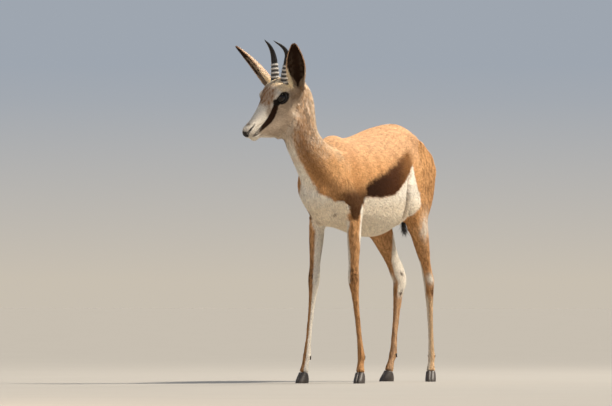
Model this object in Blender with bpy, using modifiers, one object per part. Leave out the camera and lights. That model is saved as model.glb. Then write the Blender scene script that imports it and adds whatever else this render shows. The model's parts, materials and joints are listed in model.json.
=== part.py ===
"""A life-size springbok, standing alert with its head turned to its own right.

The animal faces -Y, its left side is +X and the floor is Z = 0. Everything is in metres.
Its outer surface is the tips of the coat. The flesh is modelled whole, from tubes whose
sections are the body's breadths and depths, and is then parted with thin cuts.
"""

import math

import bmesh
import bpy
import numpy as np
from mathutils import Matrix, Vector

# Driving sizes
VOXEL = 0.0040  # grid that joins the tubes into one surface
CUT = 0.0006  # width of the cuts that part the flesh
GAP = 0.0003  # clearance round an eye, a horn or a claw
FLESH_TRIANGLES = 4360
AROUND = 32  # points round each section
STEPS = 5  # sections worked out between two that are given

# Pose of the head, whose own origin lies midway between the eyes
HEAD_AT = Vector((-0.055, -0.105, 0.817))
HEAD_YAW = math.radians(-22)
HEAD_PITCH = math.radians(30)
HEAD_ROLL = math.radians(6)

# Sections: x, y, z, half breadth, reach above or ahead, reach below or behind,
# how square the two halves are, where 2 is an ellipse, then any turn about Z in degrees
TRUNK = (
    (0.000, 0.040, 0.560, 0.028, 0.028, 0.028, 2.0, 2.0),
    (0.000, 0.070, 0.562, 0.046, 0.060, 0.060, 2.0, 2.0),
    (0.000, 0.110, 0.572, 0.068, 0.100, 0.098, 2.0, 2.0),
    (0.000, 0.165, 0.582, 0.080, 0.131, 0.129, 1.8, 2.0),
    (0.000, 0.235, 0.577, 0.094, 0.130, 0.131, 1.8, 2.1),
    (0.000, 0.300, 0.573, 0.102, 0.138, 0.136, 1.9, 2.1),
    (0.000, 0.370, 0.570, 0.106, 0.152, 0.144, 1.9, 2.1),
    (0.000, 0.440, 0.570, 0.106, 0.166, 0.146, 2.0, 2.1),
    (0.000, 0.510, 0.577, 0.101, 0.170, 0.139, 2.0, 2.0),
    (0.000, 0.580, 0.590, 0.092, 0.163, 0.128, 2.1, 2.0),
    (0.000, 0.635, 0.605, 0.083, 0.141, 0.118, 2.1, 2.0),
    (0.000, 0.685, 0.620, 0.072, 0.108, 0.104, 2.1, 2.0),
    (0.000, 0.730, 0.630, 0.055, 0.072, 0.080, 2.1, 2.0),
    (0.000, 0.760, 0.635, 0.032, 0.048, 0.048, 2.0, 2.0),
    (0.000, 0.772, 0.636, 0.012, 0.020, 0.020, 2.0, 2.0),
)
NECK = (
    (0.000, 0.135, 0.590, 0.068, 0.085, 0.085, 2.0, 2.0, 0),
    (0.000, 0.085, 0.630, 0.060, 0.084, 0.062, 2.0, 2.0, 0),
    (-0.005, 0.034, 0.668, 0.052, 0.071, 0.050, 2.0, 2.0, -2),
    (-0.011, -0.006, 0.706, 0.047, 0.061, 0.054, 2.0, 2.0, -5),
    (-0.015, -0.009, 0.740, 0.043, 0.058, 0.058, 2.0, 2.0, -9),
    (-0.020, -0.006, 0.775, 0.041, 0.054, 0.056, 2.0, 2.0, -13),
    (-0.025, -0.006, 0.808, 0.040, 0.050, 0.053, 2.0, 2.0, -18),
    (-0.031, -0.018, 0.836, 0.037, 0.042, 0.044, 2.0, 2.0, -21),
    (-0.037, -0.030, 0.852, 0.028, 0.028, 0.028, 2.0, 2.0, -22),
)
# Head sections are in its own frame, where -Y is along the nose
SKULL = (
    (0.000, 0.092, -0.012, 0.016, 0.016, 0.020, 2.0, 2.0),
    (0.000, 0.080, -0.010, 0.029, 0.032, 0.042, 2.0, 2.0),
    (0.000, 0.055, -0.008, 0.036, 0.044, 0.062, 2.2, 2.0),
    (0.000, 0.030, -0.006, 0.0380, 0.046, 0.068, 2.6, 2.0),
    (0.000, 0.004, -0.006, 0.0385, 0.043, 0.068, 2.9, 1.9),
    (0.000, -0.020, -0.012, 0.0310, 0.037, 0.060, 2.3, 1.8),
    (0.000, -0.045, -0.021, 0.0255, 0.031, 0.048, 2.0, 1.8),
    (0.000, -0.070, -0.029, 0.0232, 0.027, 0.035, 2.0, 2.0),
    (0.000, -0.095, -0.036, 0.0222, 0.024, 0.025, 2.0, 2.0),
    (0.000, -0.118, -0.039, 0.0218, 0.020, 0.021, 2.2, 2.0),
    (0.000, -0.134, -0.040, 0.0200, 0.018, 0.018, 2.3, 2.0),
    (0.000, -0.146, -0.041, 0.0125, 0.012, 0.012, 2.2, 2.0),
)
JAW = (
    (0.000, 0.045, -0.052, 0.024, 0.030, 0.034, 2.0, 2.0),
    (0.000, 0.015, -0.056, 0.030, 0.030, 0.034, 2.0, 2.0),
    (0.000, -0.015, -0.058, 0.028, 0.028, 0.030, 2.0, 2.0),
    (0.000, -0.050, -0.058, 0.021, 0.020, 0.023, 2.0, 2.0),
    (0.000, -0.080, -0.059, 0.016, 0.013, 0.0165, 2.0, 2.0),
    (0.000, -0.102, -0.060, 0.0155, 0.011, 0.0175, 2.0, 2.0),
    (0.000, -0.117, -0.061, 0.0150, 0.009, 0.0190, 2.0, 2.0),
    (0.000, -0.129, -0.061, 0.0095, 0.006, 0.0110, 2.0, 2.0),
)
THROAT = (
    (0.000, -0.100, -0.066, 0.010, 0.010, 0.012, 2.0, 2.0),
    (0.001, -0.070, -0.070, 0.016, 0.020, 0.025, 2.0, 2.0),
    (0.004, -0.040, -0.075, 0.022, 0.025, 0.035, 2.0, 2.0),
    (0.012, -0.010, -0.080, 0.027, 0.030, 0.041, 2.0, 2.0),
    (0.024, 0.020, -0.084, 0.030, 0.030, 0.034, 2.0, 2.0),
)

# Legs: where the joints are, then girths given by how far down the chain of joints they lie
# (0 is the first joint, 1 the second and so on): half breadth, ahead, behind, squareness
FORE_JOINTS = {
    "left": (
        (0.045, 0.150, 0.655),
        (0.056, 0.115, 0.565),
        (0.064, 0.192, 0.500),
        (0.064, 0.186, 0.297),
        (0.080, 0.203, 0.077),
        (0.083, 0.190, 0.030),
    ),
    "right": (
        (-0.045, 0.150, 0.655),
        (-0.050, 0.122, 0.565),
        (-0.058, 0.207, 0.500),
        (-0.063, 0.190, 0.297),
        (-0.080, 0.176, 0.077),
        (-0.083, 0.163, 0.030),
    ),
}
FORE_GIRTHS = (
    (0.00, 0.022, 0.045, 0.050, 2.0, 2.0),
    (0.55, 0.026, 0.052, 0.066, 2.0, 2.0),
    (1.00, 0.027, 0.048, 0.066, 2.0, 2.0),
    (1.55, 0.026, 0.044, 0.052, 2.0, 2.0),
    (2.00, 0.0240, 0.0360, 0.0400, 2.0, 1.8),
    (2.20, 0.0210, 0.0340, 0.0330, 2.0, 1.8),
    (2.40, 0.0192, 0.0285, 0.0280, 2.0, 2.0),
    (2.60, 0.0175, 0.0215, 0.0210, 2.0, 2.0),
    (2.80, 0.0155, 0.0180, 0.0175, 2.0, 2.0),
    (2.95, 0.0168, 0.0195, 0.0185, 2.3, 2.2),
    (3.05, 0.0158, 0.0180, 0.0190, 2.3, 2.2),
    (3.20, 0.0120, 0.0125, 0.0145, 2.1, 2.0),
    (3.42, 0.0100, 0.0103, 0.0115, 2.0, 2.0),
    (3.70, 0.0090, 0.0095, 0.0110, 2.1, 2.0),
    (3.88, 0.0102, 0.0105, 0.0135, 2.1, 2.0),
    (4.00, 0.0122, 0.0125, 0.0160, 2.1, 2.0),
    (4.40, 0.0112, 0.0115, 0.0120, 2.1, 2.0),
    (5.00, 0.0150, 0.0150, 0.0150, 2.2, 2.0),
)
FORE_TURN = 8.0  # how far the feet turn out, in degrees
HIND_JOINTS = {
    "left": (
        (0.045, 0.640, 0.700),
        (0.050, 0.655, 0.620),
        (0.062, 0.628, 0.485),
        (0.0645, 0.7115, 0.292),
        (0.071, 0.7165, 0.075),
        (0.074, 0.704, 0.030),
    ),
    "right": (
        (-0.045, 0.640, 0.700),
        (-0.050, 0.650, 0.620),
        (-0.060, 0.611, 0.485),
        (-0.0470, 0.7450, 0.292),
        (-0.058, 0.726, 0.080),
        (-0.064, 0.712, 0.030),
    ),
}
HIND_GIRTHS = (
    (0.00, 0.026, 0.042, 0.034, 2.0, 2.0),
    (0.50, 0.037, 0.086, 0.074, 2.0, 2.0),
    (1.00, 0.041, 0.098, 0.100, 2.0, 2.0),
    (1.50, 0.039, 0.094, 0.093, 2.0, 2.0),
    (2.00, 0.033, 0.066, 0.072, 2.0, 2.0),
    (2.24, 0.0265, 0.0440, 0.0470, 2.0, 1.9),
    (2.54, 0.0200, 0.0260, 0.0320, 2.0, 1.7),
    (2.73, 0.0155, 0.0200, 0.0330, 2.0, 1.5),
    (2.88, 0.0158, 0.0190, 0.0380, 2.2, 1.4),
    (3.00, 0.0165, 0.0190, 0.0320, 2.2, 1.6),
    (3.15, 0.0138, 0.0165, 0.0215, 2.2, 1.8),
    (3.40, 0.0100, 0.0120, 0.0145, 2.1, 2.0),
    (3.70, 0.0088, 0.0108, 0.0125, 2.1, 2.0),
    (3.88, 0.0095, 0.0105, 0.0132, 2.1, 2.0),
    (4.00, 0.0114, 0.0120, 0.0155, 2.1, 2.0),
    (4.40, 0.0106, 0.0112, 0.0118, 2.1, 2.0),
    (5.00, 0.0146, 0.0150, 0.0150, 2.2, 2.0),
)
HIND_TURN = 22.0
TAIL = (
    (0.000, 0.725, 0.672, 0.022, 0.022, 0.022, 2.0, 2.0),
    (-0.001, 0.770, 0.666, 0.0150, 0.0160, 0.0150, 2.0, 2.0),
    (-0.010, 0.794, 0.632, 0.0112, 0.0112, 0.0112, 2.0, 2.0),
    (-0.025, 0.797, 0.580, 0.0092, 0.0092, 0.0092, 2.0, 2.0),
    (-0.040, 0.791, 0.530, 0.0078, 0.0078, 0.0078, 2.0, 2.0),
    (-0.046, 0.784, 0.500, 0.0070, 0.0070, 0.0070, 2.0, 2.0),
)
TUFT = (
    (-0.0461, 0.7833, 0.4984, 0.0068, 0.0068, 0.0068, 2.0, 2.0),
    (-0.0470, 0.7780, 0.4800, 0.0110, 0.0110, 0.0110, 2.0, 2.0),
    (-0.0430, 0.7700, 0.4530, 0.0120, 0.0115, 0.0115, 2.0, 2.0),
    (-0.0350, 0.7630, 0.4300, 0.0080, 0.0075, 0.0075, 2.0, 2.0),
    (-0.0270, 0.7590, 0.4150, 0.0020, 0.0020, 0.0020, 2.0, 2.0),
)

# Soft masses that round off the joins: centre, half sizes, turn about X in degrees
MASSES = (
    ((0.000, 0.076, 0.548), (0.044, 0.034, 0.055), 0),
    ((0.000, 0.170, 0.690), (0.026, 0.050, 0.018), 0),
    ((0.044, 0.605, 0.695), (0.036, 0.060, 0.032), -20),
    ((-0.044, 0.605, 0.695), (0.036, 0.060, 0.032), -20),
    ((0.048, 0.716, 0.615), (0.036, 0.036, 0.055), 10),
    ((-0.048, 0.716, 0.615), (0.036, 0.036, 0.055), 10),
    ((0.064, 0.560, 0.520), (0.028, 0.045, 0.038), 0),
    ((-0.064, 0.545, 0.515), (0.028, 0.045, 0.038), 0),
    ((0.000, 0.610, 0.510), (0.050, 0.070, 0.036), 0),
)

# Eyes, horns and ears, in the head's frame
EYE_AT = Vector((0.0265, 0.000, 0.002))
EYE_RADIUS = 0.0165
ORBIT_AT = Vector((0.0235, 0.001, 0.004))
ORBIT = (0.0165, 0.0235, 0.0215)  # half sizes of the bony rim's swelling
HORN = (  # side, back, up from the eyes, radius
    (0.0190, 0.040, 0.016, 0.0130),
    (0.0195, 0.048, 0.036, 0.0130),
    (0.0215, 0.059, 0.058, 0.0116),
    (0.0255, 0.0712, 0.080, 0.0094),
    (0.0285, 0.0775, 0.099, 0.0076),
    (0.0282, 0.0762, 0.117, 0.0060),
    (0.0250, 0.0695, 0.1335, 0.0044),
    (0.0210, 0.0612, 0.1467, 0.0027),
    (0.0180, 0.0550, 0.1570, 0.0009),
)
HORN_AROUND = 10
EAR_LENGTH = 0.163
EAR_THICK = 0.0048
EAR_PROFILE = (  # share of the length, half width, half angle of the cup in degrees
    (0.00, 0.0150, 115),
    (0.12, 0.0180, 105),
    (0.28, 0.0242, 82),
    (0.45, 0.0270, 62),
    (0.62, 0.0250, 50),
    (0.78, 0.0185, 42),
    (0.90, 0.0115, 34),
    (0.97, 0.0055, 28),
    (1.00, 0.0015, 20),
)
# Root in the head's frame, then the way it points and the way it opens, as
# sideways, forwards and up in the head's yaw
EARS = {
    "left": ((0.043, 0.066, 0.004), (0.45, 0.52, 0.72), (0.50, 0.60, -0.60)),
    "right": ((-0.046, 0.062, 0.001), (-0.62, 0.36, 0.67), (-0.26, 0.72, -0.64)),
}

# Claws, in the foot's own frame: height, heel, toe and breadth of each level
CLAW = (
    (0.0000, 0.0130, -0.0330, 0.0138),
    (0.0030, 0.0140, -0.0335, 0.0145),
    (0.0120, 0.0145, -0.0260, 0.0145),
    (0.0220, 0.0120, -0.0170, 0.0135),
    (0.0300, 0.0070, -0.0110, 0.0120),
)
CLAW_SPLIT = 0.0022
CLAW_AROUND = 7
DEWCLAW = (0.0076, 0.0146, -0.010)  # beside, behind and under the fetlock joint
DEWCLAW_SIZE = (0.0042, 0.0018, 0.0120)  # radius at its root and tip, length

DEWCLAW_LEAN = 20.0
DEWCLAW_AROUND = 8
CORONET_SLOPE = 0.30
TUFT_AROUND = 10
HORN_STEPS = 3
HORN_RINGS_FROM = 0.016  # along the horn from its root
HORN_RINGS_OVER = 0.055
HORN_RIDGE = 0.0008
EAR_COLUMNS = 7
EAR_SEAT = 0.35  # share of the half width by which the back of the cup lies behind the root
EAR_ROOT = (0.017, 0.017, 0.020)
EAR_ROOT_DEPTH = 0.013
EAR_CORNER = 1.6  # a rim's points move further than its faces
CHEEK_AT = Vector((0.022, 0.012, -0.045))
CHEEK = (0.013, 0.034, 0.030)
TURN_FROM = 1.6  # place along a leg where it starts to turn out

# Blending
FILLET = 0.012  # radius that fills the creases between limbs and trunk
SMOOTHING = 12
HEAD_BLEND = -0.02  # ahead of this, measured from the eyes, the face keeps its form
HEAD_LEAST = 0.25
HEAD_KEEPS = 0.10
LEG_KEEPS = 0.09

# Cuts: point, normal, a direction across, half sizes
CUTS = (
    ("neck", (0.0, 0.052, 0.640), (0.0, -0.80, 0.60), (1, 0, 0), (0.11, 0.098)),
    ("leg_front_left", (0.068, 0.200, 0.453), (-0.30, 0.0, 1.0), (1, 0, 0), (0.036, 0.062)),
    ("leg_front_right", (-0.066, 0.205, 0.453), (0.30, 0.0, 1.0), (1, 0, 0), (0.036, 0.062)),
    ("leg_hind_left", (0.062, 0.648, 0.447), (0.0, -0.15, 1.0), (1, 0, 0), (0.048, 0.090)),
    ("leg_hind_right", (-0.062, 0.626, 0.447), (0.0, -0.15, 1.0), (1, 0, 0), (0.048, 0.090)),
    ("tail", (0.0, 0.784, 0.662), (0.0, 0.93, -0.30), (1, 0, 0), (0.036, 0.050)),
)
# The head's cut lies across its yaw: ahead and above the eyes, slope, half sizes
HEAD_CUT = ((-0.055, -0.037), (0.85, 0.55), (0.080, 0.135))

SEEDS = {
    "trunk": (0.0, 0.42, 0.58),
    "neck": (-0.01, 0.02, 0.73),
    "head": (-0.06, -0.10, 0.81),
    "tail": (-0.03, 0.79, 0.57),
    "leg_front_left": (0.07, 0.19, 0.25),
    "leg_front_right": (-0.07, 0.18, 0.25),
    "leg_hind_left": (0.06, 0.70, 0.27),
    "leg_hind_right": (-0.06, 0.70, 0.27),
}
FLESH_SLOTS = {"tail": "pale"}

COLOURS = {
    "fawn": (0.58, 0.33, 0.15),
    "pale": (0.80, 0.74, 0.66),
    "horn": (0.035, 0.030, 0.027),
    "eye": (0.020, 0.012, 0.008),
    "claw": (0.045, 0.038, 0.032),
    "black": (0.03, 0.025, 0.02),
}
ROUGHNESS = {"fawn": 0.85, "pale": 0.85, "horn": 0.45, "eye": 0.05, "claw": 0.5, "black": 0.8}


# Sections and tubes


def smooth_rows(rows, steps=STEPS):
    """Rows of numbers with a Catmull-Rom curve through them."""
    rows = np.array(rows, float)
    ends = np.vstack([2 * rows[0] - rows[1], rows, 2 * rows[-1] - rows[-2]])
    out = []
    for i in range(len(rows) - 1):
        p0, p1, p2, p3 = ends[i : i + 4]
        for t in np.arange(steps) / steps:
            bend = 2 * p0 - 5 * p1 + 4 * p2 - p3
            twist = 3 * p1 - p0 - 3 * p2 + p3
            out.append(0.5 * (2 * p1 + (p2 - p0) * t + bend * t**2 + twist * t**3))
    return np.array(out + [rows[-1]])


def rings_of(rows, upright=False, steps=STEPS, around=AROUND):
    """The rings of points of a tube. Upright sections stand square to the Y axis."""
    rows = smooth_rows(rows, steps)
    centres = rows[:, :3]
    along = np.gradient(centres, axis=0)
    along /= np.linalg.norm(along, axis=1)[:, None]
    angles = np.arange(around) / around * 2 * math.pi
    c, s = np.cos(angles), np.sin(angles)
    rings = []
    for row, tangent in zip(rows, along):
        turn = math.radians(row[8]) if len(row) > 8 else 0.0
        side = np.array((math.cos(turn), math.sin(turn), 0.0))
        first = np.array((0.0, 0.0, 1.0))
        if not upright:
            side -= tangent * (side @ tangent)
            side /= np.linalg.norm(side)
            first = np.cross(side, tangent)
        half, ahead, behind, square_a, square_b = row[3:8]
        power = 2 / np.where(s >= 0, square_a, square_b)
        x = half * np.sign(c) * np.abs(c) ** power
        d = np.where(s >= 0, ahead, behind) * np.sign(s) * np.abs(s) ** power
        rings.append(row[:3] + x[:, None] * side + d[:, None] * first)
    return rings


def loft(bm, rings, matrix=None):
    """A closed tube through rings of points."""
    matrix = matrix or Matrix.Identity(4)
    loops = [[bm.verts.new(matrix @ Vector(p)) for p in ring] for ring in rings]
    made = []
    for a, b in zip(loops, loops[1:]):
        for i in range(len(a)):
            j = (i + 1) % len(a)
            made.append(bm.faces.new((a[i], a[j], b[j], b[i])))
    made.append(bm.faces.new(loops[0][::-1]))
    made.append(bm.faces.new(loops[-1]))
    bmesh.ops.recalc_face_normals(bm, faces=made)


def leg_rows(joints, girths, turn):
    """Sections of a leg: places along its chain of joints, with the girths given there.
    A tube that runs down has its back where one that runs up has its front."""
    joints = np.array(joints)
    rows = []
    for place, half, ahead, behind, square_a, square_b in girths:
        i = min(int(place), len(joints) - 2)
        at = joints[i] + (joints[i + 1] - joints[i]) * (place - i)
        turned = turn * min(max(place - TURN_FROM, 0), 1)
        rows.append((*at, half, behind, ahead, square_b, square_a, turned))
    return rows


def ellipsoid(bm, centre, half_sizes, turn=0.0, matrix=None):
    place = Matrix.Translation(centre) @ Matrix.Rotation(math.radians(turn), 4, "X")
    place = (matrix or Matrix.Identity(4)) @ place @ Matrix.Diagonal((*half_sizes, 1))
    bmesh.ops.create_uvsphere(bm, u_segments=24, v_segments=16, radius=1, matrix=place)


# Frames


def head_matrix():
    yaw = Matrix.Rotation(HEAD_YAW, 4, "Z")
    pitch = Matrix.Rotation(HEAD_PITCH, 4, "X")
    roll = Matrix.Rotation(HEAD_ROLL, 4, "Y")
    return Matrix.Translation(HEAD_AT) @ yaw @ pitch @ roll


def side_sign(side):
    return 1 if side == "left" else -1


def head_level(sideways, forwards, up):
    """A direction given by the head's yaw alone."""
    return Matrix.Rotation(HEAD_YAW, 3, "Z") @ Vector((sideways, -forwards, up))


def foot_frames():
    """For each foot, its name, the place on the floor under its coronet and how it is turned."""
    frames = {}
    for end, chains, turn in (("front", FORE_JOINTS, FORE_TURN), ("hind", HIND_JOINTS, HIND_TURN)):
        for side, joints in chains.items():
            yaw = Matrix.Rotation(math.radians(turn * side_sign(side)), 4, "Z")
            fetlock = Vector(joints[4])
            ground = Vector((joints[5][0], joints[5][1], 0))
            frames[end + "_" + side] = (Matrix.Translation(ground) @ yaw, fetlock, yaw)
    return frames


# Ears


def ear_frame(side):
    """Root, the way the ear points, the way it opens and the way across it."""
    root, points, opens = EARS[side]
    along = head_level(*points).normalized()
    opening = head_level(*opens)
    opening = (opening - along * opening.dot(along)).normalized()
    return head_matrix() @ Vector(root), along, opening, along.cross(opening)


def ear_shape(side, grow=0.0):
    """A cupped leaf: a grid of points over length and width, thickened."""
    root, along, opening, across = ear_frame(side)
    shares = np.linspace(-1, 1, EAR_COLUMNS)
    bm = bmesh.new()
    grid = []
    for share, half, cup in smooth_rows(EAR_PROFILE, 2):
        cup = math.radians(cup)
        radius = half / math.sin(min(cup, math.pi / 2))
        middle = root + along * (EAR_LENGTH * share) - opening * (EAR_SEAT * half)
        line = []
        for a in shares * cup:
            rise = radius * (1 - math.cos(a))
            line.append(bm.verts.new(middle + across * (radius * math.sin(a)) + opening * rise))
        grid.append(line)
    for a, b in zip(grid, grid[1:]):
        for i in range(EAR_COLUMNS - 1):
            bm.faces.new((a[i], a[i + 1], b[i + 1], b[i]))
    bmesh.ops.recalc_face_normals(bm, faces=bm.faces)
    bmesh.ops.solidify(bm, geom=bm.faces[:], thickness=EAR_THICK)
    bmesh.ops.recalc_face_normals(bm, faces=bm.faces)
    bm.normal_update()
    for vert, normal in [(v, v.normal.copy()) for v in bm.verts]:
        vert.co += normal * (grow * EAR_CORNER)
    return bm


# The flesh


def flesh_shapes():
    """Every tube and mass of the body in one mesh, still overlapping."""
    bm = bmesh.new()
    head = head_matrix()
    loft(bm, rings_of(TRUNK, upright=True))
    loft(bm, rings_of(NECK))
    for rows in (SKULL, JAW, THROAT):
        loft(bm, rings_of(rows, upright=True), head)
    loft(bm, rings_of(TAIL))
    for side in ("left", "right"):
        sign = side_sign(side)
        loft(bm, rings_of(leg_rows(FORE_JOINTS[side], FORE_GIRTHS, sign * FORE_TURN)))
        loft(bm, rings_of(leg_rows(HIND_JOINTS[side], HIND_GIRTHS, sign * HIND_TURN)))
        for centre, half_sizes in ((ORBIT_AT, ORBIT), (CHEEK_AT, CHEEK)):
            ellipsoid(bm, Vector((sign * centre.x, centre.y, centre.z)), half_sizes, matrix=head)
        ellipsoid(bm, ear_frame(side)[0] - ear_frame(side)[1] * EAR_ROOT_DEPTH, EAR_ROOT)
    for centre, half_sizes, turn in MASSES:
        ellipsoid(bm, centre, half_sizes, turn)
    return bm


def object_of(name, bm, collection):
    mesh = bpy.data.meshes.new(name)
    bm.to_mesh(mesh)
    bm.free()
    obj = bpy.data.objects.new(name, mesh)
    collection.objects.link(obj)
    return obj


def baked(obj):
    """The object with its modifiers worked into its mesh."""
    bpy.context.view_layer.update()
    graph = bpy.context.evaluated_depsgraph_get()
    mesh = bpy.data.meshes.new_from_object(obj.evaluated_get(graph))
    obj.modifiers.clear()
    old, obj.data = obj.data, mesh
    bpy.data.meshes.remove(old)
    return obj


def blend_weights(points):
    """Where limbs join the trunk the surface is blended. Elsewhere it is left as it is."""
    body = np.clip((points[:, 2] - 0.44) / 0.05, 0, 1)
    forwards = head_level(0, 1, 0)
    ahead = (points - np.array(HEAD_AT)) @ np.array(forwards)
    off_face = np.clip((HEAD_BLEND - ahead) / 0.03, HEAD_LEAST, 1)
    off_tail = np.clip((0.768 - points[:, 1]) / 0.02, 0, 1)
    return body * off_face * off_tail


def light_weights(points):
    return 0.15 + 0.85 * blend_weights(points)


def coarse_weights(points):
    """Where the solid can give up its small triangles: least on the head and the feet."""
    head = np.clip((points[:, 2] - 0.68) / 0.02, 0, 1) * (points[:, 1] < 0.0)
    legs = np.clip((0.42 - points[:, 2]) / 0.05, 0, 1)
    return 1 - HEAD_KEEPS * head - LEG_KEEPS * legs


def weigh(obj, name, rule):
    points = np.empty(len(obj.data.vertices) * 3)
    obj.data.vertices.foreach_get("co", points)
    group = obj.vertex_groups.get(name) or obj.vertex_groups.new(name=name)
    for i, weight in enumerate(rule(points.reshape(-1, 3)).tolist()):
        group.add((i,), weight, "REPLACE")


def joined(obj):
    """The object's shapes made one surface."""
    remesh = obj.modifiers.new("join", "REMESH")
    remesh.mode = "VOXEL"
    remesh.voxel_size = VOXEL
    return baked(obj)


def swollen(obj, by):
    weigh(obj, "blend", blend_weights)
    swell = obj.modifiers.new("swell", "DISPLACE")
    swell.strength = by
    swell.mid_level = 0
    swell.vertex_group = "blend"
    return joined(obj)


def make_flesh(collection):
    """One closed surface, its creases filled by swelling it and shrinking it back."""
    flesh = joined(object_of("flesh", flesh_shapes(), collection))
    swollen(flesh, FILLET)
    swollen(flesh, -FILLET)
    weigh(flesh, "blend", light_weights)
    smooth = flesh.modifiers.new("blend", "SMOOTH")
    smooth.iterations = SMOOTHING
    smooth.factor = 0.6
    smooth.vertex_group = "blend"
    baked(flesh)
    weigh(flesh, "coarse", coarse_weights)
    fewer = flesh.modifiers.new("fewer", "DECIMATE")
    fewer.ratio = FLESH_TRIANGLES / (2 * len(flesh.data.polygons))
    fewer.use_collapse_triangulate = True
    fewer.vertex_group = "coarse"
    return baked(flesh)


# Horns, eyes and claws


def horn_rings(side, grow=0.0):
    """Rings of a horn in the head's frame, with its growth rings as ridges."""
    rows = smooth_rows(HORN, HORN_STEPS)
    sign = side_sign(side)
    centres = rows[:, :3] * (sign, 1, 1)
    along = np.gradient(centres, axis=0)
    along /= np.linalg.norm(along, axis=1)[:, None]
    lengths = np.cumsum(np.linalg.norm(np.diff(centres, axis=0, prepend=centres[:1]), axis=1))
    angles = np.arange(HORN_AROUND) / HORN_AROUND * 2 * math.pi
    rings = []
    for i, (centre, tangent, radius, length) in enumerate(zip(centres, along, rows[:, 3], lengths)):
        across = np.cross((0.0, 1.0, 0.0), tangent)
        across /= np.linalg.norm(across)
        other = np.cross(tangent, across)
        share = (length - HORN_RINGS_FROM) / HORN_RINGS_OVER
        if 0 < share < 1:
            radius += HORN_RIDGE * (1 if i % 2 else -1) * math.sin(math.pi * share) ** 0.5
        ring = centre - tangent * (grow if i == 0 else 0)
        around = np.cos(angles)[:, None] * across + np.sin(angles)[:, None] * other
        rings.append(ring + around * (radius + grow))
    return rings


def claw_rings(part, grow=0.0):
    """Rings of one claw over its own floor. part is 1 for the left claw of a foot, -1 for
    the right. Its inner side is flat."""
    rings = []
    for i, (height, heel, toe, breadth) in enumerate(CLAW):
        outline = []
        middle, reach = (heel + toe) / 2, (heel - toe) / 2
        for a in np.linspace(0, math.pi, CLAW_AROUND):
            x = breadth * max(math.sin(a), 0) ** 0.75
            outline.append((x + grow, middle - (reach + grow) * math.cos(a)))
        outline.append((-grow, heel + grow - 0.25 * reach))
        outline.append((-grow, toe - grow + 0.25 * reach))
        level = height + (grow if i == len(CLAW) - 1 else 0)
        level -= grow if i == 0 else 0
        ring = []
        for x, y in outline:
            tilt = -CORONET_SLOPE * (y - middle) * height / CLAW[-1][0]
            ring.append((part * (x + CLAW_SPLIT / 2), y, level + tilt))
        rings.append(np.array(ring if part > 0 else ring[::-1]))
    return rings


def dewclaw(bm, frame, part, grow=0.0):
    _, fetlock, yaw = frame
    beside, behind, under = DEWCLAW
    root, tip, length = DEWCLAW_SIZE
    at = fetlock + yaw.to_3x3() @ Vector((part * beside, behind, under))
    lean = Matrix.Rotation(math.radians(DEWCLAW_LEAN), 4, "X")
    place = Matrix.Translation(at) @ yaw @ lean
    bmesh.ops.create_cone(
        bm,
        cap_ends=True,
        segments=DEWCLAW_AROUND,
        radius1=tip + grow,
        radius2=root + grow,
        depth=length + 2 * grow,
        matrix=place,
    )


def add_eye(bm, side, grow=0.0, fine=(16, 10)):
    at = Vector((side_sign(side) * EYE_AT.x, EYE_AT.y, EYE_AT.z))
    turn = Matrix.Rotation(math.pi / 2, 4, "Y")
    place = head_matrix() @ Matrix.Translation(at) @ turn
    bmesh.ops.create_uvsphere(
        bm, u_segments=fine[0], v_segments=fine[1], radius=EYE_RADIUS + grow, matrix=place
    )


def small_shapes(grow=0.0):
    """Name, slot and mesh of each hard part. With grow they are the pockets that hold them."""
    shapes = []
    for side in ("left", "right"):
        shapes.append(("ear_" + side, "fawn", ear_shape(side, grow)))
        bm = bmesh.new()
        add_eye(bm, side, grow)
        shapes.append(("eye_" + side, "eye", bm))
        bm = bmesh.new()
        loft(bm, horn_rings(side, grow), head_matrix())
        shapes.append(("horn_" + side, "horn", bm))
    for foot, frame in foot_frames().items():
        for part, where in ((1, "a"), (-1, "b")):
            inner = (part == 1) != foot.endswith("left")
            where = "inner" if inner else "outer"
            bm = bmesh.new()
            loft(bm, claw_rings(part, grow), frame[0])
            shapes.append((f"claw_{foot}_{where}", "claw", bm))
            bm = bmesh.new()
            dewclaw(bm, frame, part, grow)
            shapes.append((f"dewclaw_{foot}_{where}", "claw", bm))
    return shapes


# Parting


def add_slab(collection, name, point, normal, across, half_sizes):
    """A thin box square to a normal, which parts what it crosses."""
    normal = Vector(normal).normalized()
    across = Vector(across)
    across = (across - normal * across.dot(normal)).normalized()
    turn = Matrix((across, normal.cross(across), normal)).transposed().to_4x4()
    sizes = Matrix.Diagonal((2 * half_sizes[0], 2 * half_sizes[1], CUT, 1))
    bm = bmesh.new()
    bmesh.ops.create_cube(bm, size=1, matrix=Matrix.Translation(Vector(point)) @ turn @ sizes)
    return object_of(name, bm, collection)


def add_cutters(collection):
    forwards = head_level(0, 1, 0)
    sideways = head_level(1, 0, 0)
    for name, point, normal, across, half_sizes in CUTS:
        add_slab(collection, "cut_" + name, point, normal, across, half_sizes)
    point, slope, half_sizes = HEAD_CUT
    at = HEAD_AT + forwards * point[0] + Vector((0, 0, point[1]))
    normal = forwards * slope[0] + Vector((0, 0, slope[1]))
    add_slab(collection, "cut_head", at, normal, sideways, half_sizes)
    for name, _, bm in small_shapes(GAP):
        object_of("pocket_" + name, bm, collection)


def part_flesh(flesh, cutters):
    cut = flesh.modifiers.new("cut", "BOOLEAN")
    cut.operation = "DIFFERENCE"
    cut.solver = "EXACT"
    cut.operand_type = "COLLECTION"
    cut.collection = cutters
    return baked(flesh)


def islands(bm):
    """Groups of joined faces."""
    left = set(bm.faces)
    groups = []
    while left:
        stack = [left.pop()]
        group = []
        while stack:
            face = stack.pop()
            group.append(face)
            for edge in face.edges:
                for other in edge.link_faces:
                    if other in left:
                        left.remove(other)
                        stack.append(other)
        groups.append(group)
    return groups


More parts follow.
